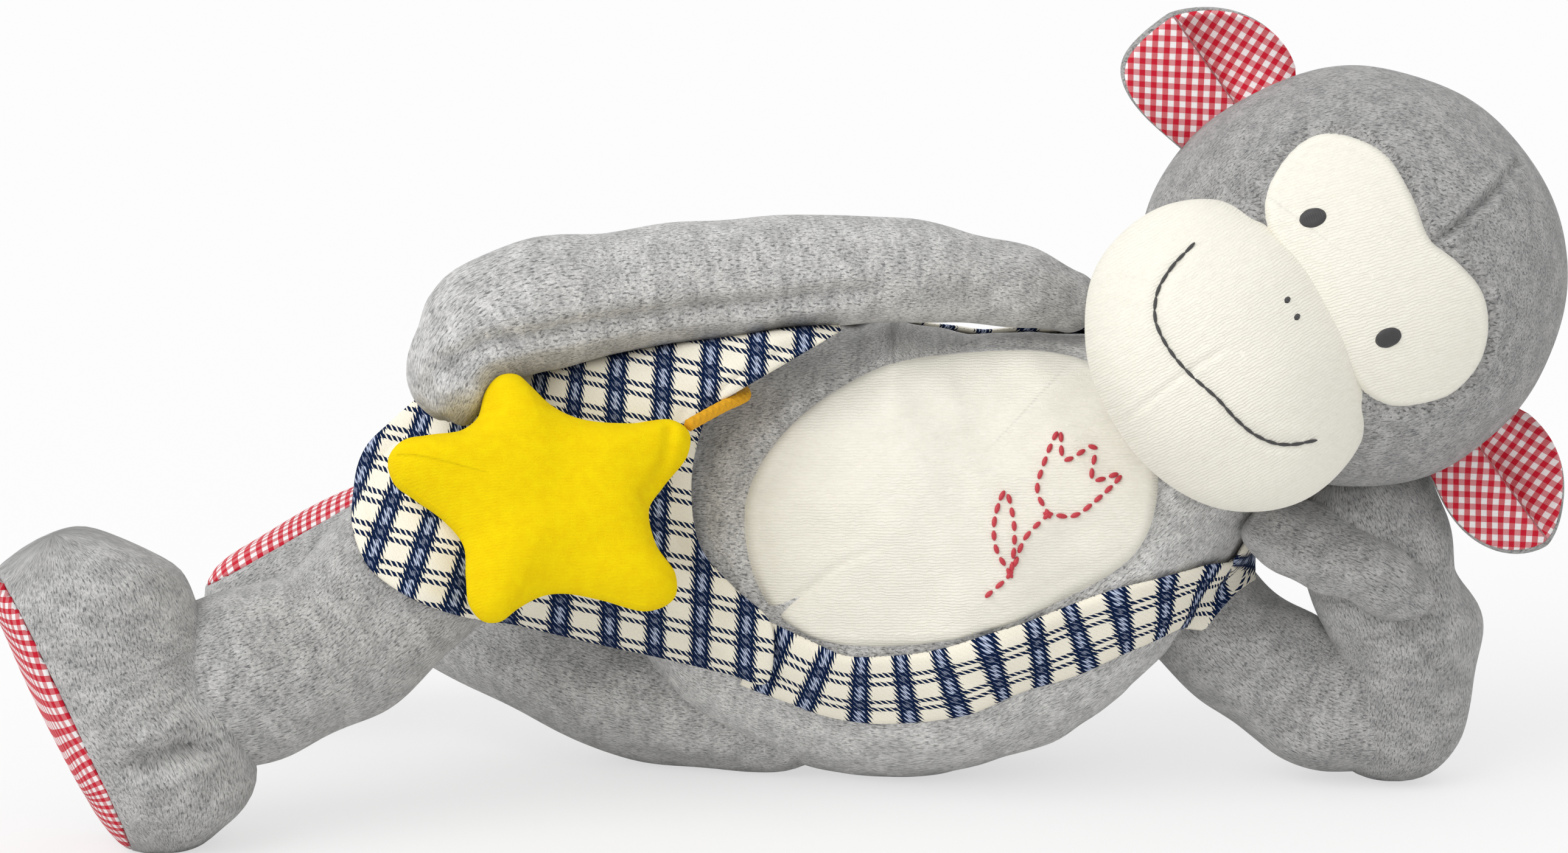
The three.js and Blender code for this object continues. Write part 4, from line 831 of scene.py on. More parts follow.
# Eyelet: the brass ring in the cord's way out, as packed.
def plain(name, colour, rough, metal=0.0):
    return new_material(name, Base_Color=(*colour, 1), Roughness=rough, Metallic=metal)[0]


def coat(packed, material):
    """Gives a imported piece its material."""
    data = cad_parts[packed].data
    data.materials.clear()
    data.materials.append(material)


brass = plain("brass_polished", (0.75, 0.55, 0.25), 0.28, 1.0)
coat("eyelet", brass)

# Head: a firm ball of the same velour, in its copy darkened as painted shade, with a short dart seam on
# its crown.
FACE_TURN = math.radians(30)
FACE_UP = math.cos(FACE_TURN) * RIGHT + math.sin(FACE_TURN) * UP
FACE_SIDE = -math.sin(FACE_TURN) * RIGHT + math.cos(FACE_TURN) * UP


def face_ball(centre, half_side, half_up, front, back, rows, around):
    """Rings of an egg that looks out of the picture, from its front pole to its back pole."""
    polar = np.linspace(0, math.pi, rows + 2)[1:-1][:, None, None]
    turn = np.linspace(0, 2 * math.pi, around, endpoint=False)[None, :, None]
    deep = np.where(np.cos(polar) > 0, front, back) * np.cos(polar)
    side = half_side * np.sin(polar) * np.cos(turn)
    up = half_up * np.sin(polar) * np.sin(turn)
    return centre + side * FACE_SIDE + up * FACE_UP + deep * OUT


HEAD_PLANE = np.array([HEAD_CENTRE @ RIGHT, HEAD_CENTRE @ UP])
EYE_PATCH = [
    (29, -14), (35.1, -2.7), (35.2, 5.7), (30, 12.2), (22.1, 16.1), (11.3, 15.8), (0.7, 14.2),
    (-7.5, 17.2), (-16.6, 19), (-24.9, 16.5), (-31.5, 10.7), (-34.5, 1.7), (-32.6, -7.3),
    (-29, -13.6), (-21.5, -18), (-7.9, -19), (9.9, -18.5), (21.2, -18),
]


def face_plane(places):
    """Places on the face (to the monkey's right, to its crown) as places in the picture plane."""
    places = np.asarray(places, float)
    turn = np.array([[FACE_SIDE @ RIGHT, FACE_SIDE @ UP], [FACE_UP @ RIGHT, FACE_UP @ UP]])
    return HEAD_PLANE + places @ turn


def in_plane(points):
    return np.stack([points @ RIGHT, points @ UP], -1)


def near_to(points, place, reach):
    """1 at a place, down to nothing some way beyond its reach."""
    return np.exp(-(((points - np.array(place)) ** 2).sum(-1)) / reach**2)


CHEEK_SWELL, CHEEK_SWELL_AT, CHEEK_SWELL_REACH = 2.5, (-46, 0, 22), 20
head_rings = face_ball(HEAD_CENTRE, HEAD_RADIUS, HEAD_RADIUS, HEAD_RADIUS, HEAD_RADIUS, 150, 270)
head_poles = HEAD_CENTRE + HEAD_RADIUS * OUT, HEAD_CENTRE - HEAD_RADIUS * OUT
head_plain = Surface(head_rings, *head_poles)
eye_patch_seam = head_plain.seen(dense(face_plane(EYE_PATCH), 1.0, closed=True))[0]
crown_seam = dense(head_plain.seen(face_plane([(-0.9, 14.1), (1.7, 30.2), (5.5, 46.1)]))[0])
head_rise = 0.35 * lumps(head_rings, 38, 11)
head_rise += CHEEK_SWELL * near_to(head_rings, HEAD_CENTRE + CHEEK_SWELL_AT, CHEEK_SWELL_REACH)
head_rise += groove(head_rings, eye_patch_seam, 1.3, 1.4)
head_rise += groove(head_rings, crown_seam, 1.9, 1.1, 0.3, 2.2)
head_rings = head_rings + ring_normals(head_rings) * head_rise[..., None]
head, head_skin = closed_piece("head_velour", head_rings, *head_poles, velour_round_painted_shade)
finished(head, "head", ["head"])

# Face: a cream eye patch of two lobes, and a big cream muzzle with a seam down its middle.
eye_patch, eye_patch_skin = shell(
    "eye_patch_velour",
    in_plane(eye_patch_seam),
    face_plane([(0, -3)])[0],
    laid_on(head_skin),
    tucked(1.0),
    cream,
    uv_turn=0.3,
)
finished(eye_patch, "head", ["face_patch"])

MUZZLE_BELOW, MUZZLE_OUT = 39, 28
MUZZLE_HALF_SIDE, MUZZLE_HALF_UP, MUZZLE_FRONT, MUZZLE_BACK = 39, 31.5, 32, 16
MUZZLE_CENTRE = HEAD_CENTRE - MUZZLE_BELOW * FACE_UP + MUZZLE_OUT * OUT
muzzle_rings = face_ball(
    MUZZLE_CENTRE, MUZZLE_HALF_SIDE, MUZZLE_HALF_UP, MUZZLE_FRONT, MUZZLE_BACK, 150, 260
)
muzzle_poles = MUZZLE_CENTRE + MUZZLE_FRONT * OUT, MUZZLE_CENTRE - MUZZLE_BACK * OUT
muzzle_plain = Surface(muzzle_rings, *muzzle_poles)
SMILE = [
    (1955, 408), (1925, 440), (1902, 480), (1898, 520), (1905, 545), (1925, 580), (1955, 615),
    (2000, 655), (2030, 688), (2060, 713), (2095, 728), (2125, 730), (2152, 725),
]
smile_line = muzzle_plain.line(SMILE, 0.4)
muzzle_seam = muzzle_plain.line([(2010, 575), (1950, 612), (1900, 650), (1850, 690)])
muzzle_rise = 0.45 * lumps(muzzle_rings, 34, 21)
muzzle_rise += groove(muzzle_rings, muzzle_seam, 0.45, 0.8)
muzzle_rise += groove(muzzle_rings, smile_line, 0.7, 1.6)
muzzle_rings = muzzle_rings + ring_normals(muzzle_rings) * muzzle_rise[..., None]
muzzle_flat = wrapped((muzzle_rings - MUZZLE_CENTRE) @ np.stack([FACE_UP, FACE_SIDE], -1))
muzzle, muzzle_skin = closed_piece("muzzle_velour", muzzle_rings, *muzzle_poles, cream, muzzle_flat)
finished(muzzle, "head", ["muzzle"])

# Embroidery of the face: satin-stitched eyes, two knotted nostrils and the backstitched smile.
def satin_oval(name, skin, pixel, half_long, half_wide, lean, loft):
    spot = in_plane(skin.pixels([pixel])[0])[0]
    turn = np.linspace(0, 2 * math.pi, 40, endpoint=False)
    ring = turned(np.stack([half_long * np.cos(turn), half_wide * np.sin(turn)], -1), lean)

    def height(edge, places):
        across = (places - spot) @ np.array([math.cos(lean), math.sin(lean)])
        strands = 0.07 * np.sin(2 * math.pi * across / 0.55)
        return loft * np.sqrt(np.clip(1 - (1 - np.minimum(edge / 1.6, 1)) ** 2, 0, 1)) - 0.1 + strands

    return shell(name, spot + ring, spot, laid_on(skin), height, dark_thread, 0.6)[0]


for name, pixel, lean in (("eye_right", (2157, 358), 0.3), ("eye_left", (2281, 555), 0.35)):
    eye = satin_oval(name + "_satin", eye_patch_skin, pixel, 3.15, 2.25, lean, 0.75)
    finished(eye, "head", [name])
for name, pixel in (("nostril_right", (2115, 493)), ("nostril_left", (2131, 521))):
    knot = satin_oval(name + "_knot", muzzle_skin, pixel, 0.9, 0.7, 0.9, 0.6)
    finished(knot, "head", [name])
smile_spots, smile_normals = muzzle_skin.pixels(SMILE)
smile_raised = dense(smile_spots + 0.2 * smile_normals, 0.4)
mouth = stitched("mouth_backstitch", [smile_raised], dark_thread, 9, 3.1, 3.9, 0.85)
finished(mouth, "head", ["mouth_stitching"])

# Ears: a velour back and a gingham lining each, cupped and folded, sewn along the head's sides.
gingham_weave, given, put = group(
    "Gingham weave",
    [("Vector", "Vector", None), ("Check", "Float", 2.9), ("Red", "Color", (0.62, 0.008, 0.03, 1))],
    [("Color", "Color"), ("Height", "Float")],
)
axes = node(gingham_weave, "ShaderNodeSeparateXYZ", {0: given["Vector"]}).outputs
striped = []
for axis in (0, 1):
    turns = maths("FRACT", maths("DIVIDE", axes[axis], given["Check"]))
    off = maths("ABSOLUTE", maths("SUBTRACT", turns, 0.5))
    striped.append(ranged(off, 0.235, 0.265))
threads = []
for axis in (0, 1):
    turns = maths("MULTIPLY", axes[axis], 2 * math.pi / 0.32)
    threads.append(maths("SINE", turns))
woven = maths("MULTIPLY", *threads)
either = maths("MAXIMUM", *striped)
both = maths("MULTIPLY", *striped)
half_tone = maths("ADD", maths("MULTIPLY", woven, 0.12), 0.7)
half_tone = maths("ADD", half_tone, maths("MULTIPLY", striped[0], 0.14))
red_share = maths("MAXIMUM", both, maths("MULTIPLY", either, half_tone))
coloured = mixed(red_share, (0.93, 0.9, 0.9, 1), given["Red"])
gingham_weave.links.new(coloured, put["Color"])
gingham_weave.links.new(woven, put["Height"])



def woven_cloth(name, pattern, reach, **values):
    """A woven cloth whose colour and threads come from its pattern's group."""
    material, tree, shader = new_material(name, **values)
    weave = use_group(tree, pattern, "UV")
    tree.links.new(weave["Color"], shader.inputs["Base Color"])
    bumped(tree, shader, weave["Height"], reach)
    return material


gingham = woven_cloth("gingham", gingham_weave, 0.05, Roughness=0.8, Specular_IOR_Level=0.25)

EAR_ROWS, EAR_STEPS = 130, 46
EARS = {
    "right": (math.radians(-5), -1, 27.5, 16.5, 5.0),
    "left": (math.radians(174), 1, 29.5, 13.6, 1.7),
}


def ear_layer(middle, chin, reach, wide, full, low, thick, shorter):
    """Rings and UV of one layer of an ear. middle is its angle round the head, chin says which way
    the chin lies, and full is how square the corner on that side is."""
    across = -np.cos(np.linspace(0.02, math.pi - 0.02, EAR_ROWS))[:, None]
    out = np.linspace(0, 1, EAR_STEPS)[None, :]
    angle = middle + across * wide / HEAD_RADIUS
    fullness = np.where(across * chin > 0, full, 1.3)
    rise = 1.5 + (reach - shorter - 1.5) * np.sqrt(np.maximum(0, 1 - np.abs(across) ** fullness))
    radius = HEAD_RADIUS - 2 + out * (rise + 2.4)
    side = across * chin
    recess = 9.5 * np.sin(math.pi * np.minimum(1.06 * out, 1)) ** 0.6
    fold = -recess * np.exp(side / 0.55) / (1 + np.exp((side + 0.06) / 0.022))
    cup = 7 * out * (across**2 - 0.3) + 0.5 * np.sin(9 * across + 3 * out)
    way = np.cos(angle)[..., None] * FACE_SIDE + np.sin(angle)[..., None] * FACE_UP
    place = radius[..., None] * way

    def at(height):
        edge = 1 - ((np.abs(2 * out - 1)) ** 24) * 0.6
        forward = (cup + fold + low - 2 + height * edge)[..., None]
        return HEAD_CENTRE + place + forward * OUT

    rings = np.concatenate([at(0.0), at(thick)[:, ::-1]], 1)
    flat = turned(in_plane(HEAD_CENTRE + place), np.where(side > -0.03, 0.05, 0.55))
    return rings, wrapped(np.concatenate([flat, flat[:, ::-1]], 1))


for side, (middle, chin, reach, wide, full) in EARS.items():
    for part, material, slot, low, thick, shorter in (
        ("back", velour_round_painted_shade, "grey_velour", 0.0, 2.2, 0.0),
        ("lining", gingham, "gingham", 2.0, 1.5, 1.3),
    ):
        rings, uv = ear_layer(middle, chin, reach, wide, full, low, thick, shorter)
        name = f"ear_{part}_{side}"
        ear, _ = closed_piece(name + "_cloth", rings, rings[0].mean(0), rings[-1].mean(0), material, uv)
        finished(ear, "head", [name])

# Arms: the right one lies along the top with its hand curled down, the left one props the head
# with its elbow on the ground and its hand bent back under the cheek.
arm_right_form = StuffedForm(
    7,
    9.4,
    [
        (77, 5, 119.5, 8, 8),
        (70, 4, 122, 8, 8),
        (58, 2, 126, 9.8, 9.4),
        (40, 0, 129.5, 11.8, 11.4),
        (15, -5, 131.5, 13.4, 12.4),
        (-13, -12, 131, 14.2, 12.4),
        (-42, -20, 128.5, 14.8, 12.4),
        (-58, -27, 127, 16.2, 12.4),
        (-71.5, -31, 122, 15.2, 12.4),
        (-79, -34, 111, 11, 11.4),
        (-80, -35, 100, 8.2, 9.4),
    ],
)
arm_right_plain = arm_right_form.surface()
arm_seam = arm_right_plain.line(
    [(728, 610), (760, 586), (803, 566), (870, 555), (950, 538), (1090, 516), (1230, 501), (1440, 478)]
)


def arm_right_dress(points):
    crumple = lumps(points, 9, 31) * near_to(points, (-78, -38, 108), 16)
    return 0.3 * lumps(points, 30, 32) + 0.7 * crumple + groove(points, arm_seam, 2.4, 1.9, 0.4, 4.0)


arm_right, _ = arm_right_form.piece("arm_right_velour", velour_limbs_painted_light, arm_right_dress)
finished(
    arm_right, ("body", "arm_right"), ["arm_right"], [(78, 5, 120), (62, 3, 125)]
)

upper_arm_form = StuffedForm(
    16,
    18,
    [
        (92, 11, 55, 15, 15),
        (103, 10, 44, 16, 16),
        (118, 8, 31, 17, 17),
        (134, 6.5, 21.5, 18, 18),
        (168, 4, 17, 17, 18),
    ],
)
forearm_form = StuffedForm(
    18,
    12,
    [
        (150.5, 5, -0.5, 18, 18),
        (153, 4, 20, 18, 18),
        (154, 1, 38, 18.5, 18),
        (149, -2, 54, 19, 17),
        (142, -4, 70, 19, 17),
        (137, -5, 84, 18, 16),
    ],
)
hand_left_form = StuffedForm(
    8,
    9,
    [(156, -14, 50, 7, 9), (145, -19, 58, 9, 9), (130, -17, 65, 9.5, 12), (113, -12, 71, 8, 13)],
)
forearm_seam = forearm_form.surface().line([(2279, 972), (2310, 1013), (2340, 1069), (2381, 1135)])


def upper_arm_dress(points):
    folds = 0.9 * lumps(points * (1.0, 0.5, 1.0), 17, 41) * near_to(points, (140, -8, 30), 24)
    return 0.6 * lumps(points, 28, 42) + folds


def forearm_dress(points):
    return 0.6 * lumps(points, 26, 43) + groove(points, forearm_seam, 1.8, 1.7, 0.4, 3.0)


upper_arm, upper_arm_skin = upper_arm_form.piece(
    "upper_arm_left_velour", velour_low_arm_painted_shade, upper_arm_dress
)
finished(
    upper_arm,
    ("body", "upper_arm_left"),
    ["upper_arm_left"],
    [(94, 11, 53), (112, 9, 36)],
)
forearm, _ = forearm_form.piece("forearm_left_velour", velour_low_arm_painted_shade, forearm_dress)
finished(forearm, "forearm_left", ["forearm_left"])
hand_left, _ = hand_left_form.piece(
    "hand_left_velour", velour_low_arm_painted_shade, lambda points: 0.5 * lumps(points, 14, 44), 0.9
)
finished(hand_left, "forearm_left", ["hand_left"])

# Legs and feet: the right leg lies over the left one. Each ankle is sewn to its foot, and a
# gingham sole closes the foot.
leg_right_form = StuffedForm(
    15,
    12,
    [
        (2, 12, 86, 14, 15),
        (-13, 10, 84, 15, 16),
        (-28, 3, 84, 18, 17),
        (-48, -6, 82, 21, 19),
        (-71, -16, 75, 22, 20),
        (-91, -27, 60, 21.5, 20),
        (-110, -36, 46, 20.3, 20),
        (-130, -44, 39.5, 22, 20),
        (-151, -49, 38, 16, 14),
    ],
)
foot_right_form = StuffedForm(
    17,
    15,
    [
        (-172, -52, 77, 24.5, 20),
        (-167, -52, 62, 26, 21),
        (-162, -51.5, 42, 27.5, 22),
        (-150, -51, 21, 24.5, 21),
        (-146, -50, -1, 18.5, 18),
    ],
)
leg_left_form = StuffedForm(
    20,
    12,
    [
        (18, 15, 21, 20, 20),
        (-4, 15, 20.5, 21, 21),
        (-30, 16, 21.5, 19.8, 21),
        (-50, 21, 26.5, 19, 21),
        (-68, 31, 32, 18.5, 20),
        (-83, 41, 38, 19, 20),
        (-98, 48, 46, 18, 20),
    ],
)
foot_left_form = StuffedForm(
    15,
    15,
    [
        (-84, 46, 60, 15.5, 20),
        (-100, 47, 52, 17.5, 21),
        (-117, 48, 44, 17.5, 21),
        (-133, 48, 36, 16.5, 21),
        (-146, 48, 26, 15.5, 20),
    ],
)
heel_dart = foot_right_form.surface().line(
    [(190, 1262), (203, 1262), (230, 1256), (256, 1246), (321, 1226), (354, 1221)]
)
leg_right, _ = leg_right_form.piece(
    "leg_right_velour", velour_legs_painted_shade, lambda points: 0.7 * lumps(points, 32, 51)
)
finished(
    leg_right, ("body", "leg_right"), ["leg_right"], [(2, 12, 86), (-26, 5, 84)]
)
leg_left, _ = leg_left_form.piece(
    "leg_left_velour", velour_limbs_painted_light, lambda points: 0.7 * lumps(points, 30, 52)
)
finished(
    leg_left, ("body", "leg_left"), ["leg_left"], [(14, 15, 21), (-18, 15, 21)]
)


def cut_flat(at, normal, low):
    """Presses what is beyond a plane, low in front of it, flat onto it."""

    def mend(points):
        depth = (points - at) @ normal
        return points + (np.minimum(depth, low) - depth)[:, None] * normal

    return mend


def cut_dome(at, normal, high):
    """Keeps what is beyond a plane, as a dome at most high, and draws the rest in behind its rim."""

    def mend(points):
        depth = (points - at) @ normal
        flat = points - depth[:, None] * normal
        middle = flat[np.abs(depth) < 1].mean(0)
        inside = np.maximum(-depth, 0)
        flat = middle + (flat - middle) * np.exp(-inside / 3.5)[:, None]
        above = np.maximum(depth, 0)
        raised = high * (1 - np.exp(-above / high)) - 0.02 * np.minimum(inside, 30)
        return flat + raised[:, None] * normal

    return mend


def roofed(at, normal, soft):
    """Presses what is beyond a plane softly down to it."""

    def mend(points):
        depth = (points - at) @ normal
        pressed = -soft * np.logaddexp(0, -depth / soft)
        return points + (np.minimum(pressed, depth) - depth)[:, None] * normal

    return mend


def after_each_other(mends):
    def mend(points):
        for change in mends:
            points = change(points)
        return points

    return mend


def on_sight(px, py, y):
    """The place with a given y that the photo shows at a pixel."""
    start, way = pixel_ray(px, py)
    return start + way * (y - start[1]) / way[1]


def foot_right_dress(points):
    return 0.6 * lumps(points, 30, 53) + groove(points, heel_dart, 5.5, 2.6, 0.3, 4.0)


def foot_left_dress(points):
    return 0.5 * lumps(points, 30, 54)


SOLE_RIGHT_OUT = unit(-0.89 * RIGHT - 0.44 * UP + 0.22 * OUT)
SOLE_LEFT_OUT = unit(-0.5 * RIGHT + 0.86 * UP + 0.1 * OUT)
instep = roofed(on_sight(255, 912, -50), unit(0.42 * RIGHT + 0.907 * UP), 1.5)
for side, form, dress, normal, at, dome, pressed in (
    ("right", foot_right_form, foot_right_dress, SOLE_RIGHT_OUT, on_sight(90, 1123, -66), 5.5, [instep]),
    ("left", foot_left_form, foot_left_dress, SOLE_LEFT_OUT, on_sight(465, 899, 32), 9, []),
):
    shaped = after_each_other([cut_flat(at, normal, 0.3)] + pressed)
    foot, _ = form.piece(f"foot_{side}_velour", velour_legs_painted_shade, dress, mend=shaped)
    finished(foot, "leg_" + side, ["foot_" + side])
    sole, _ = form.piece(
        f"sole_{side}_gingham",
        gingham,
        lambda points, dress=dress: dress(points) - 0.3,
        mend=cut_dome(at, normal, dome),
    )
    finished(sole, "leg_" + side, ["sole_" + side])

# Apron: plaid flannel, lined and turned, so it is 2 mm thick with a soft rounded edge. It covers
# the belly's end and both thighs, and goes under the right arm.
plaid_weave, given, put = group(
    "Plaid weave",
    [
        ("Vector", "Vector", None),
        ("Bar pitch", "Float", 11.1),
        ("Pair pitch", "Float", 7.9),
        ("Cream", "Color", (0.93, 0.89, 0.77, 1)),
        ("Navy", "Color", (0.004, 0.013, 0.05, 1)),
        ("Pale", "Color", (0.5, 0.57, 0.74, 1)),
    ],
    [("Color", "Color"), ("Height", "Float")],
)
axes = node(plaid_weave, "ShaderNodeSeparateXYZ", {0: given["Vector"]}).outputs
waver = noise(given["Vector"], 0.9, 2.0, 0.6)
waver = maths("MULTIPLY", maths("SUBTRACT", waver, 0.5), 0.7)
diagonal = maths("ADD", axes[0], axes[1])
twill = maths("FRACT", maths("DIVIDE", diagonal, 1.5))
twill = maths("SUBTRACT", twill, 0.5)


def band(axis, pitch, shear):
    """The distance from the nearest band's middle, in millimetres."""
    value = maths("ADD", maths("ADD", axes[axis], waver), maths("MULTIPLY", twill, shear))
    turns = maths("FRACT", maths("DIVIDE", value, given[pitch]))
    return maths("MULTIPLY", maths("ABSOLUTE", maths("SUBTRACT", turns, 0.5)), given[pitch])


bar = band(0, "Bar pitch", 1.5)
pair = band(1, "Pair pitch", 0.45)
off_twill = maths("ABSOLUTE", twill)
in_bar = ranged(bar, 2.3, 2.5, 1.0, 0.0)
in_middle = ranged(bar, 0.55, 0.8, 1.0, 0.0)
row_off = maths("ABSOLUTE", maths("SUBTRACT", pair, 1.2))
in_row = ranged(row_off, 0.56, 0.66, 1.0, 0.0)
dashed = maths("MULTIPLY", in_row, ranged(off_twill, 0.3, 0.36, 1.0, 0.0))
crossing = maths("MULTIPLY", in_bar, ranged(pair, 1.7, 1.9, 1.0, 0.0))
grain = noise(given["Vector"], 3.2, 3.0, 0.7)
cream_tone = mixed(ranged(grain, 0.3, 0.7), (0.84, 0.79, 0.66, 1), given["Cream"])
tone = mixed(in_bar, cream_tone, given["Navy"])
specks = ranged(off_twill, 0.12, 0.2, 0.35, 1.0)
tone = mixed(maths("MULTIPLY", in_middle, specks), tone, given["Pale"])
tone = mixed(dashed, tone, given["Navy"])
tone = mixed(maths("MULTIPLY", crossing, 0.6), tone, given["Navy"])
plaid_weave.links.new(tone, put["Color"])
plaid_weave.links.new(maths("ADD", grain, maths("MULTIPLY", twill, 0.5)), put["Height"])

plaid = woven_cloth("plaid_flannel", plaid_weave, 0.15, Roughness=0.95, Specular_IOR_Level=0.05)

APRON_OUTLINE = dense(
    [
        (14, 113), (2, 108.6), (-8, 103.5), (-16, 97), (-20.5, 87), (-22.4, 75), (-20.2, 60.3),
        (-12, 50.5), (-3.5, 42.5), (-2.5, 34), (-4.5, 26.8), (-13, 28.9), (-27.7, 32.2),
        (-45, 36), (-60.1, 39.6),
        (-74, 43.3), (-84, 46.8), (-92, 51), (-98.6, 56.6), (-102.9, 66), (-104.3, 76.5),
        (-101.5, 84.5), (-95, 91), (-87, 98), (-78, 105), (-65, 110), (-50, 113),
        (-35, 114.5), (-20, 115), (-4, 116), (10, 116.5),
    ],
    0.9,
    closed=True,
)
APRON_CENTRE = np.array([-55.0, 72.0])
APRON_THICK = 2.0


def out_of(y, up):
    """How far out of the picture a place is that has a given y."""
    return (up * UP[1] - y) / -OUT[1]


def on_paper(places):
    """Places in a plane as points with no depth."""
    return np.concatenate([places, np.zeros(places.shape[:-1] + (1,))], -1)


def calmed(values):
    """Values on rings, each drawn towards those beside it."""
    along = values.copy()
    along[1:-1] = (values[:-2] + values[2:]) / 2
    return (along + np.roll(values, 1, 1) + np.roll(values, -1, 1)) / 3


def in_picture(places, out):
    return places[..., :1] * RIGHT + places[..., 1:] * UP + np.asarray(out)[..., None] * OUT


shares = np.concatenate([np.linspace(0.02, 0.86, 70), 1 - 0.14 * np.linspace(1, 0, 22)[1:] ** 1.3])
apron_places = APRON_CENTRE + (APRON_OUTLINE[None] - APRON_CENTRE) * shares[:, None, None]
apron_out = out_of(-34 + 18 * shares[:, None] ** 2, apron_places[..., 1])
for form in (torso_form, leg_right_form, leg_left_form):
    behind = form.surface(2.5, 1.3).seen(apron_places)[0] @ OUT
    higher = (apron_out + behind + np.sqrt((apron_out - behind) ** 2 + 20)) / 2
    apron_out = np.where(np.isnan(behind), apron_out, higher)
arm_back = arm_right_plain.seen(apron_places, -1)[0] @ OUT - APRON_THICK - 1.2
apron_out = np.where(np.isnan(arm_back), apron_out, np.minimum(apron_out, arm_back))
for _ in range(14):
    apron_out = calmed(apron_out)
apron_flat = on_paper(apron_places)
apron_out = apron_out + 0.45 * lumps(apron_flat, 26, 61) + 0.12 * lumps(apron_flat, 8, 62)
edge = from_edge(apron_places, APRON_OUTLINE)
rounding = np.sqrt(np.clip(1 - (1 - np.minimum(edge / 1.4, 1)) ** 2, 0, 1))
hem = 0.35 * np.exp(-(((edge - 2.4) / 1.6) ** 2)) - 0.25 * np.exp(-(((edge - 5.0) / 0.7) ** 2))
half = APRON_THICK / 2 * rounding
apron_top = in_picture(apron_places, apron_out + 0.4 + APRON_THICK / 2 + half + hem)
apron_low = in_picture(apron_places, apron_out + 0.4 + APRON_THICK / 2 - half)
bars_lean = 0.04 + 0.28 * np.clip((-45 - apron_places[..., 0]) / 40, 0, 1)
u = apron_places[..., 0] - bars_lean * (apron_places[..., 1] - 60)
v = apron_places[..., 1] + 0.22 * apron_places[..., 0]
uv = np.stack([u + 2.8, v], -1)
apron, _ = closed_piece(
    "apron_flannel",
    np.concatenate([apron_top, apron_low[::-1]]),
    apron_top[0].mean(0),
    apron_low[0].mean(0),
    plaid,
    wrapped(np.concatenate([uv, uv[::-1]])),
)
finished(apron, "body", ["apron"])

# Neck strap: a 20 mm band of the same plaid. It runs from the apron's corner over the left
# shoulder and behind the neck, and its other end goes in under the right arm.
STRAP_PIXELS = [
    (1238, 1070), (1300, 1098), (1379, 1127), (1461, 1131), (1544, 1124), (1640, 1093), (1750, 1054),
    (1846, 1017), (1943, 980), (2012, 955),
]
STRAP_STOPS = [
    (0.95, 172), (0.955, 200), (0.95, 240), (0.945, 280), (0.93, 308), (0.885, 320), (0.84, 324),
    (0.76, 327), (0.64, 328), (0.5, 331), (0.38, 340), (0.3, 354),
]
STRAP_WIDE, STRAP_THICK, STRAP_OFF = 20.0, 1.2, 1.0
under_strap = torso_skin, upper_arm_skin


def uppermost(spots):
    """Of places on several skins, the one nearest the viewer."""
    out = np.nan_to_num(np.stack([found @ OUT for found in spots]), nan=-1e3)
    return np.take_along_axis(np.stack(spots), out.argmax(0)[None, :, None], 0)[0]


strap_stops = np.array(STRAP_STOPS)
strap_line = Smooth(
    np.concatenate(
        [
            uppermost([skin.pixels(STRAP_PIXELS)[0] for skin in under_strap]),
            torso_form.point(strap_stops[:, 0], np.radians(strap_stops[:, 1])),
        ]
    )
)
middle = strap_line.spaced(np.linspace(0, 1, 420))
along = unit(np.gradient(middle, axis=0))
near_skins = [skin.near(middle) for skin in under_strap]
away = np.stack([np.linalg.norm(spots - middle, axis=-1) for spots, _ in near_skins])
normal = np.where((away[1] < away[0] - 1)[:, None], near_skins[1][1], near_skins[0][1])
for _ in range(80):
    normal[1:-1] = unit(normal[:-2] + normal[1:-1] + normal[2:])
sideways = unit(np.cross(normal, along))
across = np.linspace(-0.5, 0.5, 25)
places = middle[:, None] + STRAP_WIDE * across[None, :, None] * sideways[:, None]
rise = np.max(
    [((skin.near(places)[0] - places) * normal[:, None]).sum(-1) for skin in under_strap], axis=0
)
rise = np.maximum(rise, -3)
for _ in range(14):
    rise[1:-1] = (rise[:-2] + rise[1:-1] + rise[2:]) / 3
strap_round = np.sqrt(np.clip(1 - (np.abs(across) * 2) ** 14, 0, 1))
strap_top, strap_low = (
    places + (rise + STRAP_OFF + STRAP_THICK * (0.5 + half * strap_round))[..., None] * normal[:, None]
    for half in (0.5, -0.5)
)
strap_rings = np.concatenate([strap_top, strap_low[:, ::-1]], 1)
strap_legs = run_lengths(middle)
flat = np.stack(np.broadcast_arrays(strap_legs[:, None], across * STRAP_WIDE), -1)
strap_uv = wrapped(np.concatenate([flat, flat[:, ::-1]], 1))
strap_ends = strap_rings[0].mean(0), strap_rings[-1].mean(0)
neck_strap, _ = closed_piece("neck_strap_flannel", strap_rings, *strap_ends, plaid, strap_uv)
finished(neck_strap, "body", ["neck_strap"])

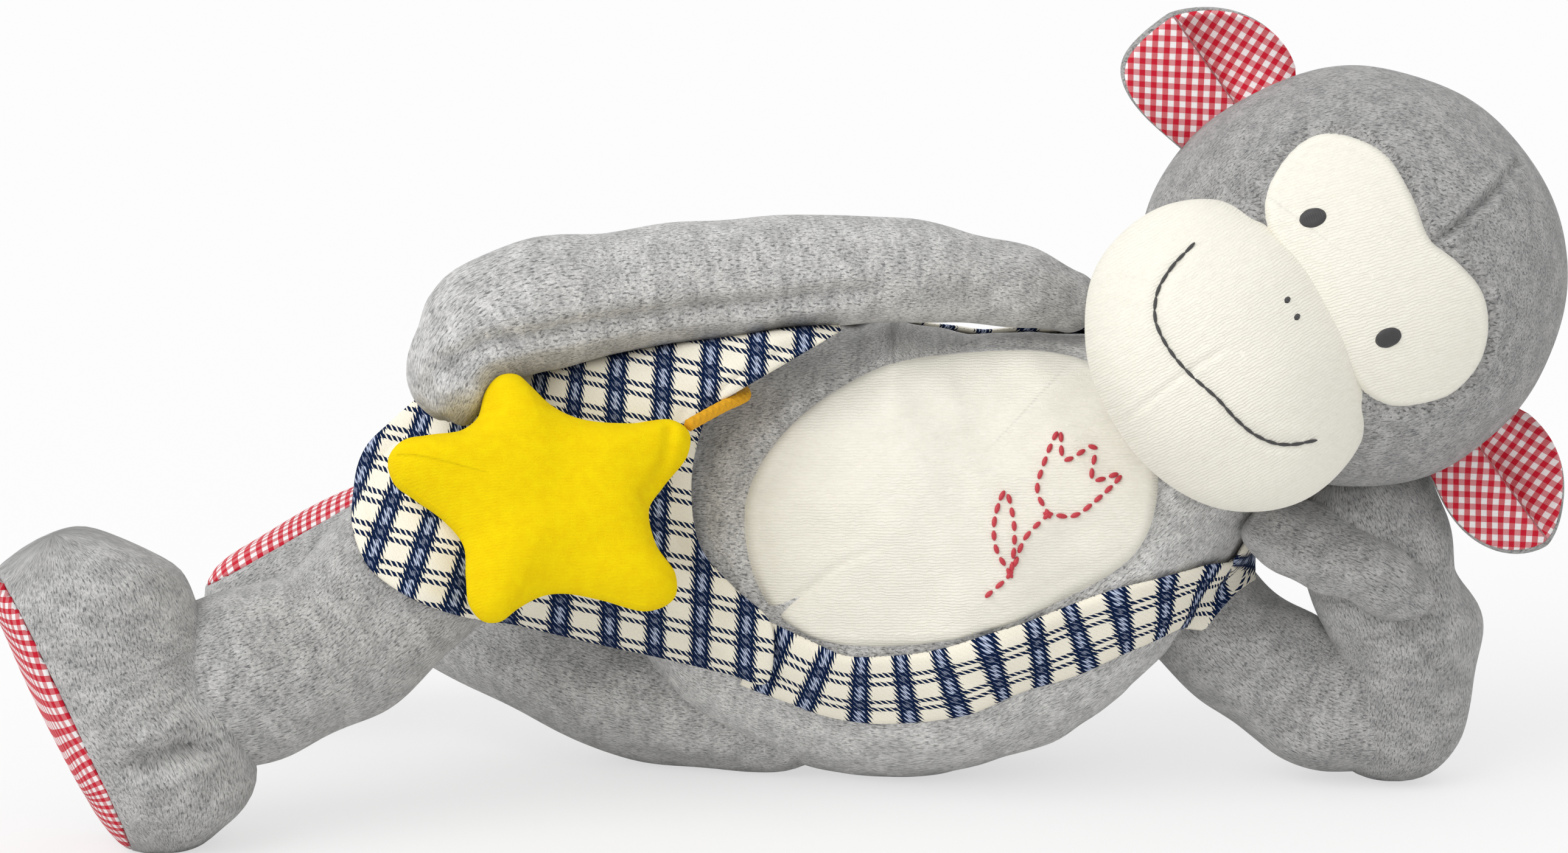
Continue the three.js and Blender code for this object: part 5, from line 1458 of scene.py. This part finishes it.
# Star: two plump halves of yellow velour with the seam around their edge, sewn to the cord.
yellow = ribbed_velour(
    "yellow_velour",
    (0.86, 0.56, 0.002, 1),
    (0.96, 0.75, 0.004, 1),
    0.2,
    0.2,
    Roughness=0.9,
    Specular_IOR_Level=0.05,
    Sheen_Tint=(1.0, 0.75, 0.05, 1),
)
STAR_OUTLINE = dense(
    [
        (-93.4, 82), (-90.5, 85.8), (-84.5, 87), (-76.7, 88.2), (-72.4, 91.6), (-70.4, 98),
        (-67.5, 101.2), (-63.6, 101.4), (-60.2, 98.6), (-55.5, 94.2), (-48.3, 91), (-36.9, 89.8),
        (-26.8, 90.6), (-22.6, 87.6), (-22.9, 82.5), (-28.4, 75.3), (-32, 69.6), (-30.4, 60.9),
        (-25.8, 54), (-26, 48.8), (-31.4, 46.2), (-42.9, 48.8), (-51.6, 50.2), (-56.8, 49.6),
        (-62.4, 46.8), (-66.9, 43.6), (-71, 43.8), (-74.2, 47.6), (-75, 54), (-75.6, 61.6),
        (-80.4, 67.7), (-87, 72.6), (-92, 76.6),
    ],
    0.7,
    closed=True,
)
STAR_CENTRE = np.array([-55.6, 71.0])
STAR_OUT = out_of(-47.6, STAR_CENTRE[1])
STAR_LEAN = np.array([0.3, 0.38])
star_shares = np.concatenate([np.linspace(0.02, 0.75, 46), 1 - 0.25 * np.linspace(1, 0, 32)[1:] ** 1.6])
star_places = STAR_CENTRE + (STAR_OUTLINE[None] - STAR_CENTRE) * star_shares[:, None, None]
star_edge = from_edge(star_places, STAR_OUTLINE)
star_plump = 5.8 * np.sqrt(np.clip(1 - (1 - np.minimum(star_edge / 9.5, 1)) ** 2, 0, 1))
star_plump += 2.7 * (1 - star_shares[:, None] ** 2)
for _ in range(10):
    star_plump = np.where(star_edge > 1.2, calmed(star_plump), star_plump)
star_plump = star_plump * (1 + 0.05 * lumps(on_paper(star_places), 22, 71))
tip_fold = dense([(-28.2, 87), (-29.3, 80.2), (-31.2, 75.1), (-34, 71.4)], 0.5)
tip_fold_depth = 1.1 * np.exp(-((nearest(star_places, tip_fold, 8)[0] / 1.8) ** 2))
star_uv = wrapped(np.concatenate([star_places, star_places[::-1]]))
for name, side, fold_depth in (("star_front", 1, tip_fold_depth), ("star_back", -1, 0)):
    rise = 0.15 + np.maximum(star_plump - fold_depth, 0)
    leaned = star_places + side * rise[..., None] * STAR_LEAN
    outer = in_picture(leaned, STAR_OUT + side * rise)
    inner = in_picture(star_places, np.full(star_edge.shape, STAR_OUT + side * 0.1))
    half_star, _ = closed_piece(
        name + "_velour",
        np.concatenate([outer, inner[::-1]]),
        outer[0].mean(0),
        inner[0].mean(0),
        yellow,
        star_uv,
    )
    finished(half_star, "star", [name])

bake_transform(pull_cord)
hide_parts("pull_cord")

# Musical movement inside the belly, as packed: a plastic case closed by two screws, with nylon
# wheels on steel shafts, a brass cylinder and a steel comb. The cord inside ends on the reel.
white_plastic = plain("white_plastic", (0.82, 0.8, 0.75), 0.4)
nylon = plain("nylon", (0.88, 0.87, 0.82), 0.45)
steel = plain("steel_zinc", (0.6, 0.61, 0.63), 0.3, 1.0)
INSIDE = {
    "case_base": white_plastic,
    "case_lid": white_plastic,
    "cord_reel": nylon,
    "governor": nylon,
    "pin_cylinder": brass,
    "comb": steel,
    "reel_axle": steel,
    "cylinder_axle": steel,
    "governor_axle": steel,
    "case_screw_1": steel,
    "case_screw_2": steel,
    "cord_inside": cord_cotton,
}
for name, material in INSIDE.items():
    coat(name, material)

# Studio: a white floor that keeps the shadow, a soft sky and one soft lamp from the upper left.
def looked_at(tree):
    """1 for rays that the camera sends out, also where they are mirrored or pass through."""
    rays = node(tree, "ShaderNodeLightPath").outputs
    direct = maths("MAXIMUM", rays["Is Camera Ray"], rays["Is Glossy Ray"])
    return maths("MAXIMUM", direct, rays["Is Transmission Ray"])


floor_mesh = bpy.data.meshes.new("floor")
floor_mesh.from_pydata([(-8, -8, 0), (8, -8, 0), (8, 12, 0), (-8, 12, 0)], [], [(0, 1, 2, 3)])
floor_material, tree, shader = new_material("floor_white")
tree.nodes.remove(shader)
diffuse = node(tree, "ShaderNodeBsdfDiffuse", in_Color=(0.86, 0.86, 0.86, 1))
glow = node(tree, "ShaderNodeEmission", in_Color=(1, 1, 1, 1), in_Strength=1.0)
blend_share = maths("MULTIPLY", looked_at(tree), 0.62)
both = node(tree, "ShaderNodeMixShader", {0: blend_share, 1: diffuse.outputs[0], 2: glow.outputs[0]})
tree.links.new(both.outputs[0], tree.nodes["Material Output"].inputs["Surface"])
floor_mesh.materials.append(floor_material)
floor = bpy.data.objects.new("floor", floor_mesh)
scene.collection.objects.link(floor)

world = bpy.data.worlds.new("sky")
scene.world = world
world.use_nodes = True
tree = world.node_tree
background = tree.nodes["Background"]
shown = node(tree, "ShaderNodeBackground", in_Color=(1, 1, 1, 1), in_Strength=1.0)
background.inputs["Color"].default_value = (1, 1, 1, 1)
background.inputs["Strength"].default_value = 0.8
shaders = {1: background.outputs[0], 2: shown.outputs[0]}
both = node(tree, "ShaderNodeMixShader", {0: looked_at(tree), **shaders})
tree.links.new(both.outputs[0], tree.nodes["World Output"].inputs["Surface"])

sun_data = bpy.data.lights.new("softbox", "SUN")
sun_data.energy = 1.5
sun_data.angle = math.radians(50)
sun = bpy.data.objects.new("softbox", sun_data)
sun.rotation_euler = Vector((0.7, 0.6, -0.75)).to_track_quat("-Z", "Y").to_euler()
scene.collection.objects.link(sun)
scene.view_settings.view_transform = "Standard"
